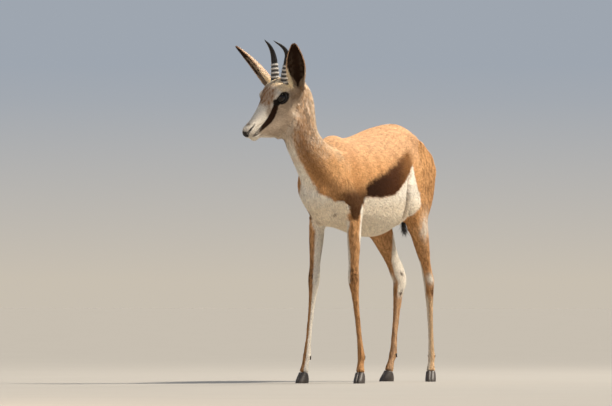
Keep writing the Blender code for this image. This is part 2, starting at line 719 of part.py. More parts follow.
def split_flesh(flesh, collection):
    """Each separate piece of the flesh as its own object, named by the seed nearest to it."""
    bm = bmesh.new()
    bm.from_mesh(flesh.data)
    bmesh.ops.triangulate(bm, faces=bm.faces)
    bm.faces.index_update()
    for group in islands(bm):
        kept = {face.index for face in group}
        points = [face.calc_center_median() for face in group]
        middle = sum(points, Vector()) / len(points)
        name = min(SEEDS, key=lambda n: (Vector(SEEDS[n]) - middle).length)
        piece = bm.copy()
        others = [face for face in piece.faces if face.index not in kept]
        bmesh.ops.delete(piece, geom=others, context="FACES")
        object_of(name, piece, collection)
    bm.free()
    bpy.data.objects.remove(flesh)


def paint(obj, slot):
    material = bpy.data.materials.get(slot)
    if not material:
        material = bpy.data.materials.new(slot)
        material.use_nodes = True
        shader = material.node_tree.nodes["Principled BSDF"]
        shader.inputs["Base Color"].default_value = (*COLOURS[slot], 1)
        shader.inputs["Roughness"].default_value = ROUGHNESS[slot]
        material.diffuse_color = (*COLOURS[slot], 1)
    obj.data.materials.clear()
    obj.data.materials.append(material)


def stand_on_origin(objects):
    """Moves every mesh so that the middle of the model's floor area is the origin."""
    points = [v.co for obj in objects for v in obj.data.vertices]
    low = Vector([min(p[i] for p in points) for i in range(3)])
    high = Vector([max(p[i] for p in points) for i in range(3)])
    shift = Vector((-(low.x + high.x) / 2, -(low.y + high.y) / 2, -low.z))
    for obj in objects:
        obj.data.transform(Matrix.Translation(shift))


def main():
    for obj in list(bpy.data.objects):
        bpy.data.objects.remove(obj)
    model = bpy.data.collections.new("springbok")
    cutters = bpy.data.collections.new("cutters")
    for collection in (model, cutters):
        bpy.context.scene.collection.children.link(collection)
    add_cutters(cutters)
    for cutter in cutters.objects:
        cutter.display_type = "WIRE"
        cutter.hide_render = True
    cutters.hide_render = True
    flesh = part_flesh(make_flesh(model), cutters)
    split_flesh(flesh, model)
    for obj in model.objects:
        paint(obj, FLESH_SLOTS.get(obj.name, "fawn"))
    for name, slot, bm in small_shapes():
        paint(object_of(name, bm, model), slot)
    bm = bmesh.new()
    loft(bm, rings_of(TUFT, around=TUFT_AROUND, steps=2))
    paint(object_of("tail_tuft", bm, model), "black")
    stand_on_origin(model.objects)


main()
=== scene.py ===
"""A life-size springbok: one skin over the whole body, a short coat in tufts over it,
eyes, ringed horns and hooves.

Tables of the body are in the body's own frame, whose floor and axes are the model's. SHIFT
moves them to the model's origin. Everything is in metres, and tables of whole millimetres pass
through metres, sections or girths.
"""

import json
import math

import bmesh
import bpy
import numpy as np
from mathutils import Matrix, Vector

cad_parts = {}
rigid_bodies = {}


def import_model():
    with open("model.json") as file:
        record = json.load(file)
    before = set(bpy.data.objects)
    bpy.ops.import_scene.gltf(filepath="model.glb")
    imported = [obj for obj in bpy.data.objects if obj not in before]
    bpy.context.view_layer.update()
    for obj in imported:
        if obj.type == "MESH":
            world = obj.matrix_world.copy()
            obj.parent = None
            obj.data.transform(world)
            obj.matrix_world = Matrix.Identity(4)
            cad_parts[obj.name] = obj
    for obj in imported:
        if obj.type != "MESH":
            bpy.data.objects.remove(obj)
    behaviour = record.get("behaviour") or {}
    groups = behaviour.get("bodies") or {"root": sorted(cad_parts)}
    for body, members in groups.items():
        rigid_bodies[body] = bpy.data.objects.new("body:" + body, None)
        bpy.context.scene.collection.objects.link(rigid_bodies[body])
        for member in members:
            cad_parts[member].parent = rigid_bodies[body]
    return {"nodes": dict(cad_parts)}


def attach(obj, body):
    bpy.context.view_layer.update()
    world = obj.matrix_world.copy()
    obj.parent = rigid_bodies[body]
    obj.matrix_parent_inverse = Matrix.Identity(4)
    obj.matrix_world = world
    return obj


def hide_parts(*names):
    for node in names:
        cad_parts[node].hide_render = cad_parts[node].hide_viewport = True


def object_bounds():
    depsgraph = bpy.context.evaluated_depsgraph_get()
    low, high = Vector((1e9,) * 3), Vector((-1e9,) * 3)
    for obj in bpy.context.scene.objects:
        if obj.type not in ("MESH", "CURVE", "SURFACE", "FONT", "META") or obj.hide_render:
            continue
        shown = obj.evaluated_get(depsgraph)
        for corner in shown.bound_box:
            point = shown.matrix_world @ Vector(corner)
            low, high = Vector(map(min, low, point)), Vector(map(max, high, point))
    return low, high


bl_info = {
    "name": "Springbok",
    "version": (1, 0, 0),
    "blender": (4, 5, 0),
    "location": "View3D > Sidebar > Springbok",
    "description": "Builds a springbok with skin, coat, eyes, horns and hooves",
    "category": "Object",
}

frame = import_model()
CAD_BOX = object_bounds()

# Pose of the head, whose own origin lies midway between the eyes
HEAD_AT = Vector((-0.055, -0.105, 0.817))
HEAD_YAW = math.radians(-22)
HEAD_PITCH = math.radians(30)
HEAD_ROLL = math.radians(6)

AROUND = 32  # points round a tube
STEPS = 5  # rings from one section to the next


def metres(rows):
    """Rows of millimetres in metres."""
    return tuple(tuple(value / 1000 for value in row) for row in rows)


def sections(rows, ending=(2.0, 2.0), first=0, last=6):
    """Rows whose numbers from first up to last are millimetres. A short row gets the ending."""
    return tuple(
        (*row[:first], *(value / 1000 for value in row[first:last]), *(row[last:] or ending))
        for row in rows
    )


def girths(rows):
    """Rows of a leg: a place along it, then three sizes in millimetres."""
    return sections(rows, first=1, last=4)


# Sections: x, y, z, half breadth, reach above or ahead, reach below or behind, then where it
# isn't 2, an ellipse, how square the two halves are, and any turn about Z in degrees
TRUNK = sections((
    (0, 40, 560, 28, 28, 28),
    (0, 70, 562, 46, 60, 60),
    (0, 110, 572, 68, 100, 98),
    (0, 165, 582, 80, 131, 129, 1.8, 2),
    (0, 235, 577, 94, 130, 131, 1.8, 2.1),
    (0, 300, 573, 102, 138, 136, 1.9, 2.1),
    (0, 370, 570, 106, 152, 144, 1.9, 2.1),
    (0, 440, 570, 106, 166, 146, 2, 2.1),
    (0, 510, 577, 101, 170, 139),
    (0, 580, 590, 92, 163, 128, 2.1, 2),
    (0, 635, 605, 83, 141, 118, 2.1, 2),
    (0, 685, 620, 72, 108, 104, 2.1, 2),
    (0, 730, 630, 55, 72, 80, 2.1, 2),
    (0, 760, 635, 32, 48, 48),
    (0, 772, 636, 12, 20, 20),
))
NECK = sections((
    (0, 135, 590, 68, 85, 85, 2, 2, 0),
    (0, 85, 630, 60, 84, 62, 2, 2, 0),
    (-5, 34, 668, 52, 71, 50, 2, 2, -2),
    (-11, -6, 706, 47, 61, 54, 2, 2, -5),
    (-15, -9, 740, 43, 58, 58, 2, 2, -9),
    (-20, -6, 775, 41, 54, 56, 2, 2, -13),
    (-25, -6, 808, 40, 50, 53, 2, 2, -18),
    (-31, -18, 836, 37, 42, 44, 2, 2, -21),
    (-37, -30, 852, 28, 28, 28, 2, 2, -22),
))
# Head sections are in its own frame, where -Y is along the nose
SKULL = sections((
    (0, 92, -12, 16, 16, 20),
    (0, 80, -10, 29, 32, 42),
    (0, 55, -8, 36, 44, 62, 2.2, 2),
    (0, 30, -6, 38, 46, 68, 2.6, 2),
    (0, 4, -6, 38.5, 43, 68, 2.9, 1.9),
    (0, -20, -12, 31, 37, 60, 2.3, 1.8),
    (0, -45, -21, 25.5, 31, 48, 2, 1.8),
    (0, -70, -29, 23.2, 27, 35),
    (0, -95, -36, 22.2, 24, 25),
    (0, -118, -39, 21.8, 20, 21, 2.2, 2),
    (0, -134, -40, 20, 18, 18, 2.3, 2),
    (0, -146, -41, 12.5, 12, 12, 2.2, 2),
))
JAW = sections((
    (0, 45, -52, 24, 30, 34),
    (0, 15, -56, 30, 30, 34),
    (0, -15, -58, 28, 28, 30),
    (0, -50, -58, 21, 20, 23),
    (0, -80, -59, 16, 13, 16.5),
    (0, -102, -60, 15.5, 11, 17.5),
    (0, -117, -61, 15, 9, 19),
    (0, -129, -61, 9.5, 6, 11),
))
THROAT = sections((
    (0, -100, -66, 10, 10, 12),
    (1, -70, -70, 16, 20, 25),
    (4, -40, -75, 22, 25, 35),
    (12, -10, -80, 27, 30, 41),
    (24, 20, -84, 30, 30, 34),
))

# Legs: where the joints are, then girths given by how far down the chain of joints they lie
# (0 is the first joint, 1 the second and so on): half breadth, ahead, behind, squareness
FORE_JOINTS = {
    "left": metres((
        (45, 150, 655),
        (56, 115, 565),
        (64, 192, 500),
        (64, 186, 297),
        (80, 203, 77),
        (83, 190, 30),
    )),
    "right": metres((
        (-45, 150, 655),
        (-50, 122, 565),
        (-58, 207, 500),
        (-63, 190, 297),
        (-80, 176, 77),
        (-83, 163, 30),
    )),
}
FORE_GIRTHS = girths((
    (0, 22, 45, 50),
    (0.55, 26, 52, 66),
    (1, 27, 48, 66),
    (1.55, 26, 44, 52),
    (2, 24, 36, 40, 2, 1.8),
    (2.2, 21, 34, 33, 2, 1.8),
    (2.4, 19.2, 28.5, 28),
    (2.6, 17.5, 21.5, 21),
    (2.8, 15.5, 18, 17.5),
    (2.95, 16.8, 19.5, 18.5, 2.3, 2.2),
    (3.05, 15.8, 18, 19, 2.3, 2.2),
    (3.2, 12, 12.5, 14.5, 2.1, 2),
    (3.42, 10, 10.3, 11.5),
    (3.7, 9, 9.5, 11, 2.1, 2),
    (3.88, 10.2, 10.5, 13.5, 2.1, 2),
    (4, 12.2, 12.5, 16, 2.1, 2),
    (4.4, 11.2, 11.5, 12, 2.1, 2),
    (5, 15, 15, 15, 2.2, 2),
))
FORE_TURN = 8.0  # how far the feet turn out, in degrees
HIND_JOINTS = {
    "left": metres((
        (45, 640, 700),
        (50, 655, 620),
        (62, 628, 485),
        (64.5, 711.5, 292),
        (71, 716.5, 75),
        (74, 704, 30),
    )),
    "right": metres((
        (-45, 640, 700),
        (-50, 650, 620),
        (-60, 611, 485),
        (-47, 745, 292),
        (-58, 726, 80),
        (-64, 712, 30),
    )),
}
HIND_GIRTHS = girths((
    (0, 26, 42, 34),
    (0.5, 37, 86, 74),
    (1, 41, 98, 100),
    (1.5, 39, 94, 93),
    (2, 33, 66, 72),
    (2.24, 26.5, 44, 47, 2, 1.9),
    (2.54, 20, 26, 32, 2, 1.7),
    (2.73, 15.5, 20, 33, 2, 1.5),
    (2.88, 15.8, 19, 38, 2.2, 1.4),
    (3, 16.5, 19, 32, 2.2, 1.6),
    (3.15, 13.8, 16.5, 21.5, 2.2, 1.8),
    (3.4, 10, 12, 14.5, 2.1, 2),
    (3.7, 8.8, 10.8, 12.5, 2.1, 2),
    (3.88, 9.5, 10.5, 13.2, 2.1, 2),
    (4, 11.4, 12, 15.5, 2.1, 2),
    (4.4, 10.6, 11.2, 11.8, 2.1, 2),
    (5, 14.6, 15, 15, 2.2, 2),
))
HIND_TURN = 22.0
TURN_FROM = 1.6  # place along a leg where it starts to turn out
TAIL = sections((
    (0, 725, 672, 22, 22, 22),
    (-1, 770, 666, 15, 16, 15),
    (-10, 794, 632, 11.2, 11.2, 11.2),
    (-25, 797, 580, 9.2, 9.2, 9.2),
    (-40, 791, 530, 7.8, 7.8, 7.8),
    (-46.1, 783.3, 498.4, 6.8, 6.8, 6.8),
    (-45, 775, 470, 6, 6, 6),
    (-39, 766.5, 442, 3, 3, 3),
))
TAIL_HAIR_FROM = 0.512  # height at which the tail's hair turns black and long

# Soft masses that round off the joins: centre, half sizes and any turn about X in degrees
MASSES = sections((
    (0, 76, 548, 44, 34, 55),
    (0, 170, 690, 26, 50, 18),
    (44, 605, 695, 36, 60, 32, -20),
    (-44, 605, 695, 36, 60, 32, -20),
    (48, 716, 615, 36, 36, 55, 10),
    (-48, 716, 615, 36, 36, 55, 10),
    (64, 560, 520, 28, 45, 38),
    (-64, 545, 515, 28, 45, 38),
    (0, 610, 510, 50, 70, 36),
), (0,))

# Eyes, horns and ears, in the head's frame
EYE_AT = Vector((0.0265, 0.000, 0.002))
EYE_RADIUS = 0.0165
ORBIT_AT = Vector((0.0235, 0.001, 0.004))
ORBIT = (0.0165, 0.0235, 0.0215)
CHEEK_AT = Vector((0.022, 0.012, -0.045))
CHEEK = (0.013, 0.034, 0.030)
# Side, back, up from the eyes and radius
HORN = metres((
    (19, 40, 16, 13),
    (19.5, 48, 36, 13),
    (21.5, 59, 58, 11.6),
    (25.5, 71.2, 80, 9.4),
    (28.5, 77.5, 99, 7.6),
    (28.2, 76.2, 117, 6),
    (25, 69.5, 133.5, 4.4),
    (21, 61.2, 146.7, 2.7),
    (18, 55, 157, 0.9),
))
EAR_LENGTH = 0.163
EAR_PROFILE = (  # share of the length, half width, half angle of the cup in degrees
    (-0.06, 0.0135, 118),
    (0.00, 0.0146, 115),
    (0.12, 0.0174, 105),
    (0.28, 0.0234, 82),
    (0.45, 0.0262, 62),
    (0.62, 0.0242, 50),
    (0.78, 0.0178, 42),
    (0.90, 0.0108, 34),
    (0.965, 0.0055, 28),
    (0.985, 0.0022, 22),
)
EAR_SEAT = 0.35
EAR_ROOT = (0.0155, 0.0155, 0.0190)
EAR_ROOT_DEPTH = 0.013
# Root in the head's frame, then the way it points and the way it opens, as
# sideways, forwards and up in the head's yaw
EARS = {
    "left": ((0.043, 0.066, 0.004), (0.45, 0.52, 0.72), (0.50, 0.60, -0.60)),
    "right": ((-0.046, 0.062, 0.001), (-0.62, 0.36, 0.67), (-0.26, 0.72, -0.64)),
}

# Claws, in the foot's own frame: height, heel, toe and breadth of each level
CLAW = metres((
    (0, 12.8, -32.5, 13.4),
    (1.2, 13.6, -33.2, 14.1),
    (6, 14.2, -31, 14.4),
    (12, 14.4, -26, 14.3),
    (22, 11.9, -17, 13.3),
    (29, 8, -12, 12.2),
))
CLAW_TOP = 0.0300
CLAW_SPLIT = 0.0022
CORONET_SLOPE = 0.30
DEWCLAW = (0.0076, 0.0072, -0.004)  # beside, behind and over the fetlock joint
DEWCLAW_SIZE = (0.0040, 0.0016, 0.0118)
DEWCLAW_LEAN = 20.0

# Blending of the joins: how far it swells and shrinks, then where it starts and how long it rises
FILLET = 0.012
LIMBS_BLEND = (0.44, 0.05)  # by height
FACE_BLEND = (0.02, 0.03)  # backwards from between the eyes
TAIL_BLEND = (-0.768, 0.02)  # forwards from the root of the tail
HEAD_LEAST = 0.25
SKIN_ROUNDS = 12
SKIN_SHARE = 0.6
SKIN_PAINTED_SHADE = 0.82  # painted shade: the skin is darker than the tufts over it, as under the coat

FLESH = (
    "trunk",
    "neck",
    "head",
    "tail",
    "tail_tuft",
    "leg_front_left",
    "leg_front_right",
    "leg_hind_left",
    "leg_hind_right",
    "ear_left",
    "ear_right",
)

# The photograph's frame: bearing in degrees, then metres and pixels
PHOTO_AZIMUTH = 25
PHOTO_DISTANCE = 26.0
PHOTO_PIXELS = 612
PHOTO_SCALE = 350.0  # pixels to a metre at the animal
PHOTO_AIM = 0.517
PHOTO_CAMERA_HEIGHT = 0.30


# Properties


def length_property(name, description, default):
    return bpy.props.FloatProperty(name=name, description=description, default=default, unit="LENGTH")


def colour_property(name, description, default):
    return bpy.props.FloatVectorProperty(
        name=name, description=description, default=default, subtype="COLOR"
    )


class SpringbokSizes(bpy.types.PropertyGroup):
    voxel: length_property("Skin grid", "Grid that joins the skin", 0.0045)
    coat_depth: length_property("Coat depth", "Depth of the skin under the tips of the coat", 0.0034)
    face_depth: length_property("Face coat depth", "The same on the face and the feet", 0.0013)
    tuft_length: length_property("Tuft length", "Length of a tuft on the side", 0.0135)
    tuft_width: length_property("Tuft width", "Width of a tuft on the side", 0.0016)
    tufts: bpy.props.FloatProperty(
        name="Tuft share", description="Share of the tufts that are made", default=1.0, min=0.01
    )
    seed: bpy.props.IntProperty(name="Seed", description="Seed of the coat", default=11)


class SpringbokColours(bpy.types.PropertyGroup):
    fawn: colour_property("Fawn", "Back and sides", (0.66, 0.36, 0.155))
    rufous: colour_property("Rufous", "Deeper fawn", (0.42, 0.180, 0.055))
    white: colour_property("White", "Belly and legs", (0.80, 0.72, 0.61))
    cream: colour_property("Cream", "Brow patches", (0.70, 0.50, 0.26))
    brown: colour_property("Brown", "Flank band", (0.050, 0.017, 0.005))
    grey: colour_property("Grey", "Forehead", (0.25, 0.165, 0.105))
    beige: colour_property("Beige", "Cheeks", (0.44, 0.325, 0.225))
    black: colour_property("Black", "Skin of nose and eye", (0.014, 0.010, 0.008))
    horn: colour_property("Horn", "Horns", (0.009, 0.007, 0.007))
    claw: colour_property("Claw", "Hooves", (0.022, 0.017, 0.014))


def sizes():
    return bpy.context.scene.springbok_sizes


def colour(name):
    return np.array(getattr(bpy.context.scene.springbok_colours, name))


# Sections and tubes


def smooth_rows(rows, steps=STEPS):
    """Rows of numbers with a Catmull-Rom curve through them."""
    rows = np.array(rows, float)
    ends = np.vstack([2 * rows[0] - rows[1], rows, 2 * rows[-1] - rows[-2]])
    out = []
    for i in range(len(rows) - 1):
        p0, p1, p2, p3 = ends[i : i + 4]
        for t in np.arange(steps) / steps:
            bend = 2 * p0 - 5 * p1 + 4 * p2 - p3
            twist = 3 * p1 - p0 - 3 * p2 + p3
            out.append(0.5 * (2 * p1 + (p2 - p0) * t + bend * t**2 + twist * t**3))
    return np.array(out + [rows[-1]])


def section_frames(rows, upright=False):
    """For rows of a tube: centres, the way along, across and to the first side."""
    centres = rows[:, :3]
    along = np.gradient(centres, axis=0)
    along /= np.linalg.norm(along, axis=1)[:, None]
    turns = np.radians(rows[:, 8]) if rows.shape[1] > 8 else np.zeros(len(rows))
    side = np.stack([np.cos(turns), np.sin(turns), np.zeros(len(rows))], 1)
    first = np.tile((0.0, 0.0, 1.0), (len(rows), 1))
    if not upright:
        side -= along * np.sum(side * along, 1)[:, None]
        side /= np.linalg.norm(side, axis=1)[:, None]
        first = np.cross(side, along)
    return centres, along, side, first


def rings_of(rows, upright=False, steps=STEPS, around=AROUND):
    rows = smooth_rows(rows, steps)
    centres, _, side, first = section_frames(rows, upright)
    angles = np.arange(around) / around * 2 * math.pi
    c, s = np.cos(angles), np.sin(angles)
    rings = []
    for row, centre, across, ahead_way in zip(rows, centres, side, first):
        half, ahead, behind, square_a, square_b = row[3:8]
        power = 2 / np.where(s >= 0, square_a, square_b)
        x = half * np.sign(c) * np.abs(c) ** power
        d = np.where(s >= 0, ahead, behind) * np.sign(s) * np.abs(s) ** power
        rings.append(centre + x[:, None] * across + d[:, None] * ahead_way)
    return rings


def loft(bm, rings, matrix=None):
    """A closed tube: a circle for each ring, drawn to its points, bridged to the one before."""
    matrix = matrix or Matrix.Identity(4)
    before = None
    made = []
    ends = []
    for i, ring in enumerate(rings):
        last = i == len(rings) - 1
        verts = bmesh.ops.create_circle(bm, segments=len(ring), radius=1)["verts"]
        for vert, point in zip(verts, ring):
            vert.co = matrix @ Vector(point)
        edges = list({e for v in verts for e in v.link_edges})
        if before:
            made += bmesh.ops.bridge_loops(bm, edges=before + edges)["faces"]
        if i == 0 or last:
            ends += edges
        before = edges
    made += bmesh.ops.holes_fill(bm, edges=ends)["faces"]
    bmesh.ops.recalc_face_normals(bm, faces=made)


def leg_rows(joints, girths, turn):
    """Sections of a leg: places along its chain of joints, with the girths given there.
    A tube that runs down has its back where one that runs up has its front."""
    joints = np.array(joints)
    rows = []
    for place, half, ahead, behind, square_a, square_b in girths:
        i = min(int(place), len(joints) - 2)
        at = joints[i] + (joints[i + 1] - joints[i]) * (place - i)
        turned = turn * min(max(place - TURN_FROM, 0), 1)
        rows.append((*at, half, behind, ahead, square_b, square_a, turned))
    return rows


def ellipsoid(bm, centre, half_sizes, turn=0.0, matrix=None):
    place = Matrix.Translation(centre) @ Matrix.Rotation(math.radians(turn), 4, "X")
    place = (matrix or Matrix.Identity(4)) @ place @ Matrix.Diagonal((*half_sizes, 1))
    bmesh.ops.create_uvsphere(bm, u_segments=24, v_segments=16, radius=1, matrix=place)


# Frames


def head_matrix():
    yaw = Matrix.Rotation(HEAD_YAW, 4, "Z")
    pitch = Matrix.Rotation(HEAD_PITCH, 4, "X")
    roll = Matrix.Rotation(HEAD_ROLL, 4, "Y")
    return Matrix.Translation(HEAD_AT) @ yaw @ pitch @ roll


def origin_shift():
    """From the body's own frame to the model's, read off the left eye."""
    eye = frame["nodes"]["eye_left"].data.vertices
    middle = sum((v.co for v in eye), Vector()) / len(eye)
    return middle - head_matrix() @ EYE_AT


SHIFT = origin_shift()
HEAD = head_matrix()
HEAD_INVERSE = np.array(HEAD.inverted())


def to_head(body_points):
    return body_points @ HEAD_INVERSE[:3, :3].T + HEAD_INVERSE[:3, 3]


def side_sign(side):
    return 1 if side == "left" else -1


def head_level(sideways, forwards, up):
    """A direction given by the head's yaw alone."""
    return Matrix.Rotation(HEAD_YAW, 3, "Z") @ Vector((sideways, -forwards, up))


def foot_frames():
    """For each foot, its name, the place on the floor under its coronet and how it is turned."""
    frames = {}
    for end, chains, turn in (("front", FORE_JOINTS, FORE_TURN), ("hind", HIND_JOINTS, HIND_TURN)):
        for side, joints in chains.items():
            yaw = Matrix.Rotation(math.radians(turn * side_sign(side)), 4, "Z")
            fetlock = Vector(joints[4])
            ground = Vector((joints[5][0], joints[5][1], 0))
            frames[end + "_" + side] = (Matrix.Translation(ground) @ yaw, fetlock, yaw)
    return frames


def ear_frame(side):
    """Root, the way the ear points, the way it opens and the way across it."""
    root, points, opens = EARS[side]
    along = head_level(*points).normalized()
    opening = head_level(*opens)
    opening = (opening - along * opening.dot(along)).normalized()
    return HEAD @ Vector(root), along, opening, along.cross(opening)


# Meshes


def object_of(name, bm):
    mesh = bpy.data.meshes.new(name)
    bm.to_mesh(mesh)
    bm.free()
    obj = bpy.data.objects.new(name, mesh)
    bpy.context.scene.collection.objects.link(obj)
    return obj


def baked(obj):
    """The object with its modifiers worked into its mesh."""
    bpy.context.view_layer.update()
    graph = bpy.context.evaluated_depsgraph_get()
    mesh = bpy.data.meshes.new_from_object(obj.evaluated_get(graph))
    obj.modifiers.clear()
    old, obj.data = obj.data, mesh
    bpy.data.meshes.remove(old)
    mesh.name = obj.name
    return obj


def points_of(obj):
    points = np.empty(len(obj.data.vertices) * 3)
    obj.data.vertices.foreach_get("co", points)
    return points.reshape(-1, 3)


def set_points(obj, points):
    obj.data.vertices.foreach_set("co", points.ravel())
    obj.data.update()


def normals_of(obj):
    normals = np.empty(len(obj.data.vertices) * 3)
    obj.data.vertex_normals.foreach_get("vector", normals)
    return normals.reshape(-1, 3)


def edges_of(obj):
    ends = np.empty(len(obj.data.edges) * 2, np.int64)
    obj.data.edges.foreach_get("vertices", ends)
    return ends.reshape(-1, 2)


def spread(obj, values, rounds, share=None):
    """Values at the vertices, each drawn towards the mean of its neighbours."""
    edges = edges_of(obj)
    count = len(obj.data.vertices)
    from_, to_ = np.vstack([edges, edges[:, ::-1]]).T
    degree = np.maximum(np.bincount(from_, minlength=count), 1)[:, None]
    share = np.full(count, 0.6) if share is None else share
    for _ in range(rounds):
        sums = [np.bincount(from_, column[to_], minlength=count) for column in values.T]
        values = values + (np.stack(sums, 1) / degree - values) * share[:, None]
    return values


def joined(obj, voxel):
    remesh = obj.modifiers.new("join", "REMESH")
    remesh.mode = "VOXEL"
    remesh.voxel_size = voxel
    return baked(obj)


def unit(ways):
    return ways / np.maximum(np.linalg.norm(ways, axis=-1, keepdims=True), 1e-6)


def fade(value, low, high):
    """0 below low, 1 above high and smooth between."""
    t = np.clip((value - low) / (high - low), 0, 1)
    return t * t * (3 - 2 * t)


def fall(value, low, high):
    """1 below low, 0 above high and smooth between."""
    return 1 - fade(value, low, high)


def bell(value, width):
    """1 at 0, falling evenly to both sides."""
    return np.exp(-((value / width) ** 2))


def rim_of(gap, out, width, height):
    """A low rim that runs beside a line, out from it."""
    return bell(gap - out, width) * height


# The skin


def flesh_shapes():
    bm = bmesh.new()
    loft(bm, rings_of(TRUNK, upright=True))
    loft(bm, rings_of(NECK))
    for rows in (SKULL, JAW, THROAT):
        loft(bm, rings_of(rows, upright=True), HEAD)
    loft(bm, rings_of(TAIL))
    for side in ("left", "right"):
        sign = side_sign(side)
        loft(bm, rings_of(leg_rows(FORE_JOINTS[side], FORE_GIRTHS, sign * FORE_TURN)))
        loft(bm, rings_of(leg_rows(HIND_JOINTS[side], HIND_GIRTHS, sign * HIND_TURN)))
        for centre, half_sizes in ((ORBIT_AT, ORBIT), (CHEEK_AT, CHEEK)):
            ellipsoid(bm, Vector((sign * centre.x, centre.y, centre.z)), half_sizes, matrix=HEAD)
        root, along, _, _ = ear_frame(side)
        ellipsoid(bm, root - along * EAR_ROOT_DEPTH, EAR_ROOT)
    for *sizes_at, turn in MASSES:
        ellipsoid(bm, sizes_at[:3], sizes_at[3:], turn)
    return bm


def ramped(value, start, run):
    """0 before the start, rising to 1 over the run."""
    return np.clip((value - start) / run, 0, 1)


def blend_weights(points):
    """Where limbs join the trunk the surface is blended. Elsewhere it is left as it is."""
    body = ramped(points[:, 2], *LIMBS_BLEND)
    forwards = np.array(head_level(0, 1, 0))
    ahead = (points - np.array(HEAD_AT)) @ forwards
    off_face = np.maximum(ramped(-ahead, *FACE_BLEND), HEAD_LEAST)
    return body * off_face * ramped(-points[:, 1], *TAIL_BLEND)


def face_weights(points):
    """1 on the head ahead of the ears, fading behind."""
    head = to_head(points)
    near = np.linalg.norm(head / (0.075, 0.16, 0.10) + (0, 0.20, 0.30), axis=1)
    return fall(near, 0.8, 1.15)


def skin_depth(points):
    """How deep the skin lies under the tips of the coat."""
    legs = fall(points[:, 2], 0.40, 0.50)
    tail = fade(points[:, 1], 0.772, 0.785)
    fine = np.maximum(np.maximum(face_weights(points), legs), tail)
    thick, thin = sizes().coat_depth, sizes().face_depth
    return thick + (thin - thick) * fine


def closed_flesh():
    """One closed surface, its creases filled by swelling it and shrinking it back."""
    voxel = sizes().voxel
    flesh = joined(object_of("skin", flesh_shapes()), voxel)
    for by in (FILLET, -FILLET):
        points = points_of(flesh)
        set_points(flesh, points + normals_of(flesh) * (by * blend_weights(points))[:, None])
        joined(flesh, voxel)
    points = points_of(flesh)
    share = SKIN_SHARE * (0.15 + 0.85 * blend_weights(points))
    set_points(flesh, spread(flesh, points, SKIN_ROUNDS, share))
    points = points_of(flesh)
    set_points(flesh, points - normals_of(flesh) * skin_depth(points)[:, None])
    return flesh


def subdivide_where(obj, rule):
    """Cuts the faces in two each way where the rule holds."""
    bm = bmesh.new()
    bm.from_mesh(obj.data)
    points = np.array([f.calc_center_median() for f in bm.faces])
    wanted = rule(points)
    bm.faces.ensure_lookup_table()
    edges = {e for i in np.nonzero(wanted)[0] for e in bm.faces[int(i)].edges}
    bmesh.ops.subdivide_edges(bm, edges=list(edges), cuts=1, use_grid_fill=True, smooth=0.0)
    bmesh.ops.triangulate(bm, faces=[f for f in bm.faces if len(f.verts) > 4])
    bm.to_mesh(obj.data)
    bm.free()


def near_features(points):
    """Round the eyes, on the nose and along the mouth."""
    head = to_head(points)
    side = np.abs(head[:, 0])
    eye = np.linalg.norm(np.stack([side, head[:, 1], head[:, 2]], 1) - (0.036, 0, 0.002), axis=1)
    muzzle = (head[:, 1] < -0.098) & (head[:, 1] > -0.17) & (side < 0.04)
    return (eye < 0.031) | muzzle


# Eye sockets, lids, nostrils and mouth

EYE_OUT = np.array((0.985, -0.06, 0.06))  # the way an eye looks, from the head's middle
EYE_OPENING = (0.0150, 0.0120)  # half sizes of the opening between the lids
LID = 0.0017
LID_RISE = 0.0012
LID_FOLD = 0.0009


def eye_axes(sign):
    out = EYE_OUT * (sign, 1, 1)
    out = out / np.linalg.norm(out)
    lie = np.array((0.0, -0.90, -0.44))  # towards the front corner of the eye
    lie -= out * (lie @ out)
    lie /= np.linalg.norm(lie)
    rise = np.cross(out, lie) * sign
    return out, lie, rise if rise[2] > 0 else -rise


def shape_eyes(head):
    """Sinks the skin behind the eyeballs and lays lids over them."""
    for sign in (1, -1):
        centre = np.array(EYE_AT) * (sign, 1, 1)
        out, lie, rise = eye_axes(sign)
        rel = head - centre
        depth = rel @ out
        u, v = rel @ lie, rel @ rise
        reach = np.linalg.norm(rel, axis=1)
        opening = np.where(v > 0, EYE_OPENING[1], EYE_OPENING[1] * 0.86)
        corner = EYE_OPENING[0] + 0.0028 * fade(u, 0.0, 0.014)
        ring = np.sqrt((u / corner) ** 2 + (v / opening) ** 2)
        near = (depth > -0.002) & (reach < 0.040) & (ring < 3.2)
        inside = fall(ring, 0.90, 1.04)
        on_ball = np.sqrt(np.maximum((EYE_RADIUS + LID) ** 2 - u**2 - v**2, 0))
        rim = rim_of(ring, 1.22, 0.16, LID_RISE)
        fold = rim_of(ring, 1.62, 0.13, LID_FOLD) * (0.4 + 0.6 * (v > 0))
        cover = fade(ring, 2.3, 1.25)
        lid_depth = np.maximum(depth, on_ball) * cover + depth * (1 - cover)
        lid_depth = lid_depth + (rim - fold) * (ring < 2.6)
        sunk = np.sqrt(np.maximum((EYE_RADIUS * 0.80) ** 2 - u**2 - v**2, 0)) - 0.001
        wanted = lid_depth * (1 - inside) + sunk * inside
        head = np.where(near[:, None], head + out * (wanted - depth)[:, None], head)
    return head


def curve_gap(points, curve):
    """Distance of points from a curve of straight pieces, and the share along it."""
    best = np.full(len(points), 9.0)
    along = np.zeros(len(points))
    curve = np.array(curve, float)
    for i, (a, b) in enumerate(zip(curve, curve[1:])):
        way = b - a
        t = np.clip(((points - a) @ way) / (way @ way), 0, 1)
        gap = np.linalg.norm(points - a - t[:, None] * way, axis=1)
        closer = gap < best
        best = np.where(closer, gap, best)
        along = np.where(closer, (i + t) / (len(curve) - 1), along)
    return best, along


